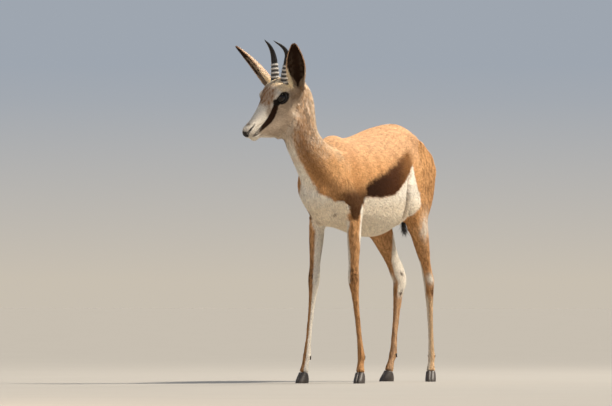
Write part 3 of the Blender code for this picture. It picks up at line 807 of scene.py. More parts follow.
# Curves of the face, on its left side: side, back and up in the head's frame
NOSTRIL = metres(((8, -145, -39), (14, -138.5, -32.5), (16.6, -126.5, -28), (16.4, -113, -24.2)))
NOSTRIL_WIDTH = 0.0026
NOSTRIL_DEPTH = 0.0042
MOUTH = metres((
    (0, -148, -52.5),
    (10, -141.5, -53),
    (14, -128, -56),
    (16, -112, -58),
    (17.5, -96, -59),
    (18.5, -82, -60),
))
MOUTH_WIDTH = 0.0022
MOUTH_DEPTH = 0.0022
FACE_BOX = (0.09, 0.20, 0.13)
# Rims of nostril and mouth: how far out, how wide and how high
NOSTRIL_RIM = (0.0058, 0.0024, 0.0008)
MOUTH_RIM = (0.0050, 0.0022, 0.0006)


def mirrored(head):
    return np.stack([np.abs(head[:, 0]), head[:, 1], head[:, 2]], 1)


def shape_muzzle(head, head_normals):
    folded = mirrored(head)
    gap, along = curve_gap(folded, NOSTRIL)
    press = bell(gap, NOSTRIL_WIDTH) * NOSTRIL_DEPTH * (1.0 - 0.8 * along)
    raised = rim_of(gap, *NOSTRIL_RIM)
    gap, along = curve_gap(folded, MOUTH)
    press = press + bell(gap, MOUTH_WIDTH) * MOUTH_DEPTH * (1 - 0.5 * along)
    raised = raised + rim_of(gap, *MOUTH_RIM)
    middle = bell(folded[:, 0], 0.0016) * (head[:, 1] < -0.140) * 0.0009
    muzzle = fade(-head[:, 1], 0.070, 0.085)
    return head - head_normals * ((press - raised + middle) * muzzle)[:, None]


def shape_face(obj):
    points = points_of(obj)
    head = to_head(points)
    turn = np.array(HEAD.to_3x3())
    head_normals = normals_of(obj) @ turn
    head = shape_muzzle(head, head_normals)
    head = shape_eyes(head)
    moved = head @ turn.T + np.array(HEAD.translation)
    face = (np.abs(to_head(points)) < FACE_BOX).all(axis=1)
    set_points(obj, np.where(face[:, None], moved, points))


# Crease between the belly and the fold of skin in front of the thigh
FLANK_FOLD = metres((
    (0, 520, 610),
    (0, 486, 584),
    (0, 478, 556),
    (0, 488, 527),
    (0, 502, 485),
))
FOLD_WIDTH = 0.0080
FOLD_DEPTH = 0.0078
FOLD_RIM = (0.018, 0.009, 0.0032)


def fold_gap(points):
    """Distance from the crease as seen from the side, far for points near the midline."""
    flat = points * (0, 1, 1)
    gap, along = curve_gap(flat, FLANK_FOLD)
    return gap + 0.05 * fall(np.abs(points[:, 0]), 0.040, 0.055), along


def shape_fold(obj):
    points = points_of(obj)
    gap, along = fold_gap(points)
    press = FOLD_DEPTH * bell(gap, FOLD_WIDTH)
    press -= rim_of(gap, *FOLD_RIM) * (points[:, 1] > 0.49)
    set_points(obj, points - normals_of(obj) * (press * fade(along, 0.0, 0.3))[:, None])


# Ears

EAR_COLUMNS = 18
EAR_ROWS = 44
EAR_SKIN = 0.0026
EAR_JOIN = (0.012, 0.024)
EAR_ROUNDS = 6


def ear_cup(shares):
    """Half width, half angle and radius of an ear at shares of its length."""
    rows = smooth_rows(EAR_PROFILE, 8)
    half = np.interp(shares, rows[:, 0], rows[:, 1])
    cup = np.radians(np.interp(shares, rows[:, 0], rows[:, 2]))
    return half, cup, half / np.sin(np.minimum(cup, math.pi / 2))


def ear_places(side, shares_along, shares_across):
    """Points on the middle of an ear's leaf. Across, -1 and 1 are its rims."""
    root, along, opening, across = (np.array(v) for v in ear_frame(side))
    half, cup, radius = ear_cup(shares_along)
    middle = root + along * (EAR_LENGTH * shares_along)[:, None]
    middle = middle - opening * (EAR_SEAT * half)[:, None]
    angle = shares_across * cup
    rise = radius * (1 - np.cos(angle))
    return middle + across * (radius * np.sin(angle))[:, None] + opening * rise[:, None]


def ear_leaf(side):
    """A grid drawn to a cupped leaf and thickened."""
    bm = bmesh.new()
    verts = bmesh.ops.create_grid(bm, x_segments=EAR_COLUMNS, y_segments=EAR_ROWS, size=1)["verts"]
    flat = np.array([v.co for v in verts])
    low, high = EAR_PROFILE[0][0], EAR_PROFILE[-1][0]
    along = low + (high - low) * (flat[:, 1] + 1) / 2
    places = ear_places(side, along, flat[:, 0])
    for vert, place in zip(verts, places):
        vert.co = place
    bmesh.ops.recalc_face_normals(bm, faces=bm.faces)
    bmesh.ops.solidify(bm, geom=bm.faces[:], thickness=EAR_SKIN)
    bmesh.ops.recalc_face_normals(bm, faces=bm.faces)
    axes = {"use_axis_" + axis: True for axis in "xyz"}
    bmesh.ops.smooth_vert(bm, verts=bm.verts, factor=0.35, **axes)
    return bm


def join_ears(skin):
    ears = bpy.data.collections.new("ears")
    for side in ("left", "right"):
        obj = object_of("leaf_" + side, ear_leaf(side))
        bpy.context.scene.collection.objects.unlink(obj)
        ears.objects.link(obj)
    bpy.context.scene.collection.children.link(ears)
    join = skin.modifiers.new("ears", "BOOLEAN")
    join.operation = "UNION"
    join.solver = "EXACT"
    join.operand_type = "COLLECTION"
    join.collection = ears
    baked(skin)
    for obj in list(ears.objects):
        bpy.data.objects.remove(obj)
    bpy.data.collections.remove(ears)
    points = points_of(skin)
    near = np.zeros(len(points))
    for side in ("left", "right"):
        root = np.array(ear_frame(side)[0])
        near = np.maximum(near, fall(np.linalg.norm(points - root, axis=1), *EAR_JOIN))
    set_points(skin, spread(skin, points, EAR_ROUNDS, near * SKIN_SHARE))


# Where a point lies on the body

PARTS = ("trunk", "neck", "head", "fore", "hind", "tail", "ear")
STATION_STEPS = 3
EAR_REACH = 0.016
AT_ONCE = 20000  # points looked up together


def body_axes():
    """Stations down the middle of every part: its part, side, centre, reach, way along, across
    and to the front."""
    found = []

    def add(part, sign, rows, upright=False, matrix=None, flip=False):
        rows = smooth_rows(rows, STATION_STEPS)
        centres, along, side, first = section_frames(rows, upright)
        if matrix is not None:
            turn = np.array(matrix)[:3, :3]
            centres = centres @ turn.T + np.array(matrix)[:3, 3]
            along, side, first = along @ turn.T, side @ turn.T, first @ turn.T
        reach = (rows[:, 3] * 2 + rows[:, 4] + rows[:, 5]) / 4
        shares = np.linspace(0, 1, len(rows))
        if flip:
            along, shares = -along, shares[::-1]
        for size, share, *ways in zip(reach, shares, centres, along, side, first):
            found.append((PARTS.index(part), sign, size, share, *np.concatenate(ways)))

    add("trunk", 0, TRUNK, upright=True)
    add("neck", 0, NECK, flip=True)
    add("head", 0, SKULL, upright=True, matrix=HEAD, flip=True)
    add("head", 0, JAW[:-1], upright=True, matrix=HEAD, flip=True)
    add("tail", 0, TAIL[1:])
    for side in ("left", "right"):
        sign = side_sign(side)
        add("fore", sign, leg_rows(FORE_JOINTS[side], FORE_GIRTHS, sign * FORE_TURN)[2:])
        add("hind", sign, leg_rows(HIND_JOINTS[side], HIND_GIRTHS, sign * HIND_TURN)[1:])
        _, along, opening, across = (np.array(v) for v in ear_frame(side))
        for share in np.linspace(0.05, 1, 12):
            centre = ear_places(side, np.array([share]), np.array([0.0]))[0]
            ways = (*centre, *along, *across, *opening)
            found.append((PARTS.index("ear"), sign, EAR_REACH, share, *ways))
    return np.array(found)


def locate(points):
    """The station of the body that each point belongs to."""
    axes = body_axes()
    centres, reach = axes[:, 4:7], axes[:, 2]
    best = np.empty(len(points), np.int64)
    for start in range(0, len(points), AT_ONCE):
        part = points[start : start + AT_ONCE]
        gap = np.linalg.norm(part[:, None, :] - centres[None], axis=2) / reach
        best[start : start + AT_ONCE] = gap.argmin(axis=1)
    return axes[best]


def around_axis(points, at):
    """How far points lie to the left of their station and ahead of it."""
    rel = points - at[:, 4:7]
    across = np.sum(rel * at[:, 10:13], 1)
    ahead = np.sum(rel * at[:, 13:16], 1)
    return across, ahead


# Markings

# Edges of the dark band along the flank: how far back, then heights
BAND_TOP = metres((
    (200, 228, 263, 330, 407, 481, 531, 575),
    (575, 586, 597, 616, 641, 668, 684, 676),
))
BAND_FOOT = metres((
    (200, 231, 295, 365, 411, 447, 492, 527, 575),
    (540, 539, 538, 543, 560, 581, 610, 633, 664),
))
# Rear edge of the white in front of the thigh: heights, then how far back
BELLY_REAR = metres((
    (455, 472, 483, 501, 521, 553, 579, 602, 631),
    (520, 532, 546, 570, 593, 587, 556, 538, 527),
))
# Edges of the pale chest: heights, then how far to the left, and its foot by how far back
CHEST_LEFT = metres(((520, 527, 534, 545, 554, 583, 610, 660), (88, 74, 45, 29, 17, 8, 0, -6)))
CHEST_RIGHT = metres(((530, 545, 580, 610, 660), (-88, -62, -46, -43, -46)))
CHEST_FOOT = metres(((100, 130, 160, 221), (523, 520, 525, 538)))
# Lower edge of the dark patch over the elbow, which is darker hair and painted shade: how far back,
# then heights
ELBOW = metres(((50, 90, 106, 132, 160, 172, 187, 219), (545, 525, 522, 506, 476, 470, 500, 530)))
# Front edge of the foreleg against the chest: heights, then how far back
LEG_EDGE = metres(((440, 466, 509, 523), (152, 155, 131, 104)))
# Edges of the white throat, in degrees round the neck, by height
THROAT_HEIGHTS = (0.52, 0.55, 0.61, 0.67, 0.72, 0.74, 0.765, 0.80)
THROAT_LEFT = (60, 18, 2, 4, 8, 18, 20, 26)
THROAT_RIGHT = (-75, -52, -44, -46, -48, -52, -56, -62)
# The white rump: how far back, then half its width
RUMP_HALF = metres(((500, 600, 660, 700, 740, 800), (0, 3, 10, 34, 48, 50)))
# Rear edge of the foreleg below the elbow: heights, then how far back
ELBOW_REAR = metres(((400, 440, 466, 505, 530), (190, 180, 172, 186, 219)))
# Front edge of the white inside the thigh: heights, then degrees inward round the leg
INNER_THIGH = ((0.26, 0.32, 0.355, 0.385, 0.41, 0.45), (34, 26, 40, 72, 100, 150))
CHEST_SPOT = (0.0348, 0.1119, 0.4905)  # bare spot low on the chest
# Middle of the stripe from eye to mouth, back and up in the head's frame, and its half widths
STRIPE = metres((
    (-17, -3),
    (-25, -9),
    (-33, -20),
    (-46, -32.6),
    (-57.4, -39.4),
    (-73.3, -43.7),
    (-94, -47),
    (-118, -51),
    (-132, -53.5),
))
# Upper edge of the beige cheek: along the nose, then up
CHEEK_TOP = metres(((-130, -100, -60, -45, -20), (-52, -47, -38, -30, -10)))
# Where an ear is dark inside, from its dark skin and painted shade in the cup: shares of its length,
# then of its half width
EAR_DARK = ((0.0, 0.12, 0.25, 0.40, 0.9), (0.10, 0.30, 0.74, 0.94, 0.94))
EYE_CORNER = metres(((-6, -2), (-20.5, -3.5)))  # bare skin before the eye
# How strongly beige streaks show inside each ear; the left ear is kept darker inside as painted shade
EAR_STREAK = {"left": 0.12, "right": 1.0}
STRIPE_HALF = (0.0070, 0.0075, 0.0095, 0.0122, 0.0118, 0.0100, 0.0080, 0.0062, 0.0045)


def filled(tone, points):
    """One colour at every point."""
    return np.tile(tone, (len(points), 1))


def mix(under, over, share):
    return under + (over - under) * np.clip(share, 0, 1)[:, None]


def wave(points, scale, seed):
    """A smooth uneven value from 0 to 1, made of a few waves."""
    rng = np.random.default_rng(seed)
    total = np.zeros(len(points))
    for _ in range(7):
        way = rng.normal(size=3)
        way *= rng.uniform(0.6, 1.7) / (np.linalg.norm(way) * scale)
        total += np.sin(points @ way * 2 * math.pi + rng.uniform(0, 6.28))
    return np.clip(0.5 + total / 7, 0, 1)


def streaks(p, seed):
    """Uneven strokes of light and dark along the coat."""
    return wave(p * (1.0, 0.35, 0.8), 0.007, seed)


def elbow_dark_and_shade(p):
    """Share of dark brown over the elbow, outside the chest: darker hair there, and painted shade."""
    side, y, z = np.abs(p[:, 0]), p[:, 1], p[:, 2]
    low = np.interp(y, *ELBOW)
    patch = fade(z - low, -0.002, 0.005) * fall(z, 0.535, 0.590)
    patch *= fade(y, 0.045, 0.115) * fall(y, 0.214, 0.222)
    front = np.interp(z, *LEG_EDGE)
    patch *= np.where(z < 0.515, fade(y - front, -0.003, 0.003), 1)
    return patch * fade(side, 0.050, 0.064)


def on_foreleg(p):
    """Share by which a point beside the chest belongs to the outside of the foreleg."""
    edge = np.interp(p[:, 2], *LEG_EDGE)
    inner = np.interp(p[:, 2], (0.490, 0.515), (0.056, 0.044))
    return fade(p[:, 1] - edge, -0.004, 0.004) * fade(np.abs(p[:, 0]) - inner, 0.0, 0.008)


def white_belly(p):
    """Share of white on the chest, the belly and in front of the thigh."""
    y, z = p[:, 1], p[:, 2]
    chest = fall(z - np.interp(y, *CHEST_FOOT), -0.004, 0.003)
    chest *= fall(y, 0.205, 0.222) * (1 - on_foreleg(p))
    front = fade(np.interp(z, *CHEST_LEFT) - p[:, 0], -0.005, 0.005)
    front *= fade(p[:, 0] - np.interp(z, *CHEST_RIGHT), -0.005, 0.005)
    front *= fall(y, 0.12, 0.15) * fall(z, 0.625, 0.660)
    belly = fall(z - np.interp(y, *BAND_FOOT), -0.004, 0.003)
    belly *= fade(y, 0.205, 0.218) * fade(np.interp(z, *BELLY_REAR) - y, -0.004, 0.004)
    belly *= fall(z, 0.628, 0.640)
    return np.maximum(np.maximum(chest, front), belly)


def rump_patch(p):
    """White of the rump, which runs up the back as a narrow fold, and its brown edge."""
    side, y, z = np.abs(p[:, 0]), p[:, 1], p[:, 2]
    half = np.interp(y, *RUMP_HALF)
    high = fade(z, 0.585, 0.600)
    patch = fade(half - side, -0.003, 0.003) * fade(y, 0.50, 0.56) * high
    seat = fade(y - 0.045 * fade(z, 0.56, 0.70), 0.690, 0.708) * fade(0.047 - side, -0.004, 0.004)
    edge = bell(side - half - 0.006, 0.006) * fade(y, 0.46, 0.58) * high
    return np.maximum(patch, seat), edge


def trunk_colours(p, _):
    """Fawn over rufous, with the flank band, the white below and the rump."""
    y, z = p[:, 1], p[:, 2]
    c = filled(colour("fawn"), p)
    c = mix(c, colour("rufous"), 0.22 * fade(z, 0.66, 0.75) * fade(y, 0.10, 0.4))
    c = mix(c, colour("rufous"), 0.30 * wave(p, 0.09, 3))
    c = mix(c, colour("rufous") * 0.8, 0.42 * fade(streaks(p, 4), 0.30, 0.80))
    c = mix(c, colour("rufous") * 0.8, 0.55 * fall(z, 0.50, 0.62) * fade(y, 0.56, 0.62))
    # painted shade: the lower shoulder and the side of the chest are darkened as if out of the light
    shade = fall(y, 0.10, 0.21) * fall(z - 0.30 * (0.10 - y), 0.545, 0.60)
    c = mix(c, colour("rufous") * 0.55, 0.42 * shade)
    c = mix(c, colour("rufous"), 0.32 * bell(y - 0.175, 0.035) * fall(z, 0.66, 0.70))
    # painted highlight: the top of the back is made paler, as where the light falls on it
    c = mix(c, colour("white"), 0.13 * fade(z, 0.60, 0.70))
    top, foot = np.interp(y, *BAND_TOP), np.interp(y, *BAND_FOOT)
    ragged = 0.008 * (streaks(p, 7) - 0.5)
    band = fade(z - foot, -0.002, 0.004) * fall(z - top + ragged, -0.014, 0.008)
    band *= fade(y + ragged, 0.206, 0.222) * fall(y, 0.50, 0.56)
    tone = mix(filled(colour("brown") * 0.55, p), colour("brown") * 1.3, fade(y, 0.24, 0.40))
    tone = mix(tone, colour("rufous") * 0.55, 0.9 * fade(y, 0.38, 0.52))
    c = mix(c, tone, band)
    # darker hair and painted shade over the elbow
    c = mix(c, colour("brown"), 0.9 * elbow_dark_and_shade(p))
    # painted shade: the white is made creamier low on the belly, as in shade
    under = mix(filled(colour("white"), p), colour("cream"), 0.30 * fall(z, 0.500, 0.560))
    c = mix(c, under, white_belly(p))
    spot = np.linalg.norm(p - CHEST_SPOT, axis=1)
    c = mix(c, colour("grey") * 0.7, 0.9 * bell(spot, 0.006))
    # painted shade, with some bare skin: the crease in front of the thigh is darkened
    gap, along = fold_gap(p)
    c = mix(c, colour("rufous") * 0.8, 0.55 * bell(gap, 0.0055) * fade(along, 0.0, 0.3))
    patch, edge = rump_patch(p)
    c = mix(c, colour("rufous") * 0.55, 0.7 * edge)
    return mix(c, colour("white"), patch)


def neck_colours(p, at):
    """Streaked fawn, greyer high up, with a white throat that turns beige high up as painted shade,
    painted shade beside the throat and a painted highlight on the back of the neck.
    """
    y, z = p[:, 1], p[:, 2]
    c = filled(colour("fawn"), p)
    up = fade(z, 0.60, 0.72) * fall(y, 0.015, 0.085)
    c = mix(c, colour("beige") * 1.15, 0.55 * up)
    dark_streak = fade(wave(p * (1, 1, 0.22), 0.006, 8), 0.40, 0.75)
    c = mix(c, colour("rufous") * 0.40, (0.32 + 0.38 * up) * dark_streak)
    pale_streak = fade(wave(p * (1, 1, 0.20), 0.0055, 10), 0.50, 0.80)
    c = mix(c, colour("white"), 0.58 * pale_streak * up)
    across, ahead = around_axis(p, at)
    angle = np.degrees(np.arctan2(across, ahead))
    left = np.interp(z, THROAT_HEIGHTS, THROAT_LEFT)
    right = np.interp(z, THROAT_HEIGHTS, THROAT_RIGHT)
    white = fade(left - angle, -5, 5) * fade(angle - right, -5, 5)
    # painted shade: a darker band down the side of the neck beside the white throat
    shade = bell(angle - left - 26, 24) * fade(z, 0.52, 0.58) * fall(z, 0.72, 0.80)
    c = mix(c, colour("rufous") * 0.55, 0.75 * shade)
    dark = bell(angle - 75, 40) * fade(z, 0.68, 0.72) * fall(z, 0.79, 0.84)
    c = mix(c, colour("grey") * 0.8, 0.8 * dark * fade(wave(p * (1, 1, 0.3), 0.009, 5), 0.3, 0.6))
    # painted highlight: the back of the neck is made paler, as where the light falls on it
    nape_highlight = colour("cream") * 0.5 + colour("white") * 0.5
    uneven = 0.4 + 0.6 * wave(p * (1, 1, 0.3), 0.012, 6)
    c = mix(c, nape_highlight, 0.50 * fade(np.abs(angle), 85, 130) * uneven)
    low = fall(z, 0.620, 0.665)
    # painted shade: the white throat turns beige high up, under the jaw
    pale = mix(filled(colour("white"), p), colour("beige"), 0.75 * fade(z, 0.66, 0.72))
    white = white * (1 - low) + white_belly(p) * low
    return mix(c, pale, white)


def leg_colours(p, at):
    """Coat shared by all legs, the side of the body and the angle round the leg: 0 ahead,
    90 outward and 180 behind."""
    z = p[:, 2]
    sign = at[:, 1]
    across, back = around_axis(p, at)
    angle = np.degrees(np.arctan2(across * sign, -back))
    ahead = fall(np.abs(angle), 30, 75)
    c = filled(colour("fawn"), p)
    # greyer low down, and more so on the right legs as painted shade
    c = mix(c, colour("grey") * 1.3, np.where(sign < 0, 0.30, 0.22) * fall(z, 0.36, 0.50))
    c = mix(c, colour("rufous"), 0.10 + 0.40 * fall(z, 0.30, 0.46) * ahead)
    c = mix(c, colour("rufous") * 0.45, 0.6 * fade(wave(p * (1, 1, 0.35), 0.008, 15), 0.45, 0.8))
    return c, sign, angle


def fore_colours(p, at):
    """White inside, brown on knee and elbow, and the white sliver behind the elbow."""
    y, z = p[:, 1], p[:, 2]
    c, sign, angle = leg_colours(p, at)
    white, brown = colour("white"), colour("brown")
    start = 14 * fall(z, 0.435, 0.460)
    inner = np.where(angle < 0, fade(-angle - start, 0, 12), fade(angle, 146, 160))
    knee = bell(z - 0.312, 0.030)
    inner = np.where(angle > 0, inner * (0.2 + 0.8 * fade(z, 0.40, 0.47)), inner)
    low = np.where(sign < 0, 16, 40)
    inner = np.where(z < 0.29, inner * fade(-angle - low, 0, 18), inner)
    knee *= fall(np.abs(angle), 40, 100) * fade(wave(p, 0.010, 16), 0.35, 0.7)
    c = mix(c, brown, 0.75 * knee)
    c = mix(c, white, inner)
    chest = (1 - on_foreleg(p)) * fade(z, 0.450, 0.466)
    c = mix(c, white, chest * fall(z - np.interp(y, *CHEST_FOOT), -0.004, 0.003))
    # darker hair and painted shade over the elbow
    c = mix(c, brown, 0.92 * elbow_dark_and_shade(p))
    rear = np.interp(z, *ELBOW_REAR)
    sliver = fade(y - rear, -0.002, 0.003) * fade(z, 0.385, 0.415) * fall(z, 0.532, 0.538)
    return mix(c, white, sliver * fade(angle, 45, 75))


def hind_colours(p, at):
    """White inside and behind, a pale patch on the thigh and marks round the hock."""
    x, y, z = p.T
    c, sign, angle = leg_colours(p, at)
    white, brown = colour("white"), colour("brown")
    thigh = fade(z, 0.43, 0.50)
    gaskin = fade(z, 0.235, 0.265)
    # painted shade: the right hind leg gets little of the low white inside
    near = np.where(sign > 0, 0.9, 0.12)
    rear = np.where(angle > 0, fade(angle, 128, 150) * (1 - thigh) * gaskin, 0)
    start = np.interp(z, *INNER_THIGH)
    inside = fade(-angle - start, 0, 12) * gaskin * fall(z, 0.52, 0.58)
    low = fade(-angle, 8, 22) * fall(-angle, 95, 120) * (1 - gaskin) * near
    c = mix(c, white, np.maximum(np.maximum(rear, inside), low))
    pale = bell(y - 0.620 + 0.25 * (0.460 - z), 0.036) * bell(z - 0.455, 0.044) * fade(angle, 5, 45)
    c = mix(c, white, 1.25 * pale * (0.30 + 0.90 * wave(p * (1, 1, 0.4), 0.009, 17)))
    # painted light: the left hind leg is made paler below the hock
    c = mix(c, colour("cream") * 0.7 + white * 0.3, 0.45 * (1 - gaskin) * (sign > 0))
    blots = wave(p, 0.009, 18)
    for tone, height, tall, bearing, wide, share in (
        (white, 0.303, 0.015, 30, 42, 1.2),
        (brown, 0.265, 0.014, 55, 38, 1.2 * fade(blots, 0.15, 0.40)),
        (brown, 0.262, 0.011, -95, 35, 1.1 * fade(blots, 0.25, 0.50) * (sign < 0)),
        (brown, 0.318, 0.008, -120, 22, 0.9),
    ):
        c = mix(c, tone, share * bell(z - height, tall) * bell(angle - bearing, wide))
    c = mix(c, white, white_belly(p) * fade(z, 0.466, 0.476))
    grain = 0.5 * wave(p, 0.016, 9) * thigh * fade(y, 0.58, 0.64)
    c = mix(c, colour("rufous") * 0.6, grain * fall(z, 0.58, 0.64))
    patch, _ = rump_patch(p)
    seat = fade(y, 0.660, 0.685) * fade(0.046 - np.abs(x), -0.004, 0.004) * fade(z, 0.42, 0.46)
    seat *= fall(z, 0.565, 0.600)
    return mix(c, white, np.maximum(patch * fade(z, 0.44, 0.47), seat))


def head_colours(p):
    """A white face with its stripe, brow and crown, and how bare and wet the skin is."""
    h = to_head(p)
    x, y, z = h.T
    side = np.abs(x)
    white, grey, beige = colour("white"), colour("grey"), colour("beige")
    c = filled(white, p)
    below = fall(z - np.interp(y, *CHEEK_TOP), -0.004, 0.006)
    c = mix(c, beige, 0.9 * below * fade(side, 0.006, 0.014) * fade(y, -0.115, -0.095))
    cheek = fade(y, -0.020, 0.004) * fall(z, 0.010, 0.024) * fade(side, 0.022, 0.030)
    c = mix(c, beige * 0.9, 0.8 * cheek)
    c = mix(c, grey, 0.50 * below * fade(y, 0.020, 0.06))
    behind_eye = fade(y, 0.022, 0.034) * fall(np.abs(z), 0.016, 0.034) * fade(side, 0.018, 0.026)
    c = mix(c, grey * 0.9, 0.75 * behind_eye)
    spots = fade(wave(p, 0.006, 12), 0.40, 0.62)
    crown = fade(y, -0.004, 0.008) * fade(z, 0.006, 0.016) * fall(y, 0.052, 0.064)
    c = mix(c, colour("cream") * 0.65 + white * 0.42, crown)
    c = mix(c, grey, crown * 0.22 * spots * fall(y, 0.030, 0.040))
    c = mix(c, grey * 0.7, crown * 0.6 * bell(x, 0.0022))
    front = fade(y, -0.062, -0.042) * fall(y, -0.014, 0.020) * fade(z, -0.014, 0.006)
    front *= fall(side, 0.018, 0.032)
    tan = grey * np.array((1.15, 0.95, 0.75))
    strokes = fade(wave(h * (1.0, 0.25, 0.6), 0.007, 22), 0.30, 0.75)
    c = mix(c, tan, front * (0.74 + 0.40 * strokes))
    c = mix(c, grey, 0.28 * fade(-y, 0.085, 0.110) * spots * (1 - below))
    strip = fade(y, -0.070, -0.055) * fall(y, -0.046, -0.036) * fade(side, 0.015, 0.021)
    c = mix(c, grey * 1.2, 0.7 * strip * fade(z, -0.034, -0.024))
    smudge = bell(y + 0.120, 0.007) * bell(x, 0.009) * fade(z, -0.036, -0.024)
    c = mix(c, grey * 0.5, 0.8 * smudge)
    crease = bell(z + 0.033 + 0.10 * (y + 0.09), 0.0016) * fade(side, 0.012, 0.016)
    c = mix(c, grey, 0.5 * crease * fade(y, -0.115, -0.105) * fall(y, -0.082, -0.074))
    # cream hair over the brows, made brighter as painted highlight on the brow tops
    brow = bell(side - 0.036, 0.012) * bell(y - 0.046, 0.014) * bell(z - 0.028, 0.018)
    c = mix(c, colour("cream") * 0.8 + white * 0.42, 1.8 * brow)
    back = fade(y, 0.060, 0.075)
    c = mix(c, colour("fawn"), back * fade(z, -0.030, -0.005))
    c = mix(c, beige * 0.85, back * fall(z, -0.030, -0.005))
    wedge = fall(p[:, 2], 0.768, 0.780) * fade(p[:, 2], 0.722, 0.738)
    wedge *= fade(y - 0.30 * (0.770 - p[:, 2]), 0.010, 0.020) * fade(side, 0.034, 0.042)
    wedge *= 0.20 + 0.75 * fade(wave(p * (1, 1, 0.3), 0.0055, 14), 0.25, 0.60)
    # painted shade: the white under the jaw is made beige
    throat = fade(-z, 0.045, 0.070) * fade(y, -0.05, 0.00)
    c = mix(c, beige, 0.75 * throat)
    c = mix(c, white, wedge)
    gap, along = curve_gap(h[:, 1:], STRIPE)
    half = np.interp(along, np.linspace(0, 1, len(STRIPE_HALF)), STRIPE_HALF)
    stripe = fall(gap - half, -0.0018, 0.0018) * fade(side, 0.010, 0.015)
    mottled = fade(-y, 0.090, 0.110) * (0.25 + 0.45 * spots)
    c = mix(c, colour("brown") * 0.45, stripe * (1 - mottled))
    eye = np.sqrt(((y - 0.0025) / 0.0235) ** 2 + ((z + 0.0010) / 0.0175) ** 2)
    corner, _ = curve_gap(h[:, 1:], EYE_CORNER)
    ring = np.maximum(fall(eye, 0.92, 1.05), fall(corner, 0.0085, 0.0110))
    ring *= fade(side, 0.020, 0.026)
    c = mix(c, colour("black"), ring)
    slit, run = curve_gap(mirrored(h), NOSTRIL)
    nose = fade(-y, 0.1395, 0.1425) * fade(z, -0.0510, -0.0490) * fall(z, -0.028, -0.023)
    nose = np.maximum(nose, fall(slit, 0.0034 - 0.0012 * run, 0.0050 - 0.0018 * run))
    gap, along = curve_gap(mirrored(h), MOUTH)
    lip = fall(gap, 0.0018, 0.0036) * (1 - 0.5 * along)
    c = mix(c, colour("black"), np.maximum(nose, lip))
    return c, np.maximum(nose * fade(-y, 0.130, 0.137), ring * fall(eye, 0.72, 0.90))


def ear_colours(p, at):
    """Inside and outside of an ear, told apart by the distance from the middle of its cup."""
    c = filled(colour("fawn"), p)
    for side in ("left", "right"):
        mine = at[:, 1] == side_sign(side)
        if not mine.any():
            continue
        root, along, opening, across = (np.array(v) for v in ear_frame(side))
        q = p[mine]
        rel = q - root
        share = rel @ along / EAR_LENGTH
        half, cup, radius = ear_cup(share)
        u, v = rel @ across, rel @ opening + EAR_SEAT * half - radius
        within = np.hypot(u, v) < radius + EAR_SKIN * 0.35
        turn = np.abs(np.arctan2(u, -v)) / cup
        edge = np.interp(share, *EAR_DARK)
        cup_side = within * fall(turn, 0.93, 0.99)
        inside = cup_side * fall(turn - edge, -0.05, 0.05)
        streak = bell(turn - 0.50, 0.24) * fall(share, 0.50, 0.85)
        streak *= EAR_STREAK[side] * fade(wave(q * (1.4, 1.4, 0.6), 0.012, 21), 0.20, 0.55)
        # dark brown inside the cup: its skin, and painted shade
        deep = mix(filled(colour("brown") * 0.40, q), colour("beige"), streak)
        back = filled(colour("fawn") * 0.45 + colour("white") * 0.50, q)
        back = mix(back, colour("rufous") * 0.55, 0.7 * fade(share, 0.80, 0.98))
        back = mix(back, colour("rufous"), 0.45 * fade(turn, 0.84, 0.98) * fade(share, 0.35, 0.5))
        lining = mix(filled(colour("beige") * 0.8, q), colour("grey"), 0.6 * (turn > 0.5))
        back = mix(back, lining, cup_side * fall(share, 0.30, 0.42))
        c[mine] = mix(back, deep, inside)
    return c


def tail_colours(p, _):
    black = fall(p[:, 2], TAIL_HAIR_FROM - 0.012, TAIL_HAIR_FROM + 0.012)
    return mix(filled(colour("white"), p), colour("black"), black)


def coat_colours(points):
    """Colour of skin and hair at points of the body, and how bare and wet the skin is there."""
    p = points - np.array(SHIFT)
    at = locate(p)
    c = np.zeros((len(p), 3))
    wet = np.zeros(len(p))
    # In the order of PARTS. The head has a rule of its own, which also says where it is wet
    rules = (trunk_colours, neck_colours, None, fore_colours, hind_colours, tail_colours, ear_colours)
    for index, rule in enumerate(rules):
        mine = at[:, 0] == index
        if mine.any() and rule:
            c[mine] = rule(p[mine], at[mine])
        elif mine.any():
            c[mine], wet[mine] = head_colours(p[mine])
    body = at[:, 0] <= PARTS.index("head")
    if body.any():
        c[body] = body_blend(p[body], at[body], c[body])
    return c, wet


def body_blend(p, at, own):
    """Softens the step where head, neck and trunk meet."""
    y, z = p[:, 1], p[:, 2]
    off_head = at[:, 0] < PARTS.index("head")
    low = bell(z - 0.60, 0.03) * (y < 0.14) * (y > 0.02) * off_head
    near = low > 0.05
    if near.any():
        neck = neck_colours(p[near], nearest_of(p[near], PARTS.index("neck")))
        trunk = trunk_colours(p[near], at[near])
        share = fade(z[near] + 0.55 * (0.09 - y[near]), 0.560, 0.625)
        both = mix(trunk, neck, share)
        own[near] = mix(own[near], both, low[near] * 1.6)
    return own


def nearest_of(points, part):
    axes = body_axes()
    axes = axes[axes[:, 0] == part]
    gap = np.linalg.norm(points[:, None, :] - axes[None, :, 4:7], axis=2)
    return axes[gap.argmin(axis=1)]


def hair_lie(p, at, normals):
    """The way the hair lies, before it is smoothed over the body."""
    way = at[:, 7:10].copy()
    part = at[:, 0]
    down = np.array(HEAD.to_3x3()) @ np.array((0, 0, -0.25))
    for where, pull in (
        (part == PARTS.index("trunk"), (0, 0, -0.42)),
        ((part == PARTS.index("trunk")) & (p[:, 1] < 0.12), (0, -0.2, -0.9)),
        ((part == PARTS.index("fore")) & (p[:, 2] > 0.44), (0, 0.9, -0.2)),
        ((part == PARTS.index("hind")) & (p[:, 2] > 0.44), (0, 0.8, -0.3)),
        (part == PARTS.index("head"), down),
    ):
        way[where] += pull
    return unit(way - normals * np.sum(way * normals, 1)[:, None])


# Materials

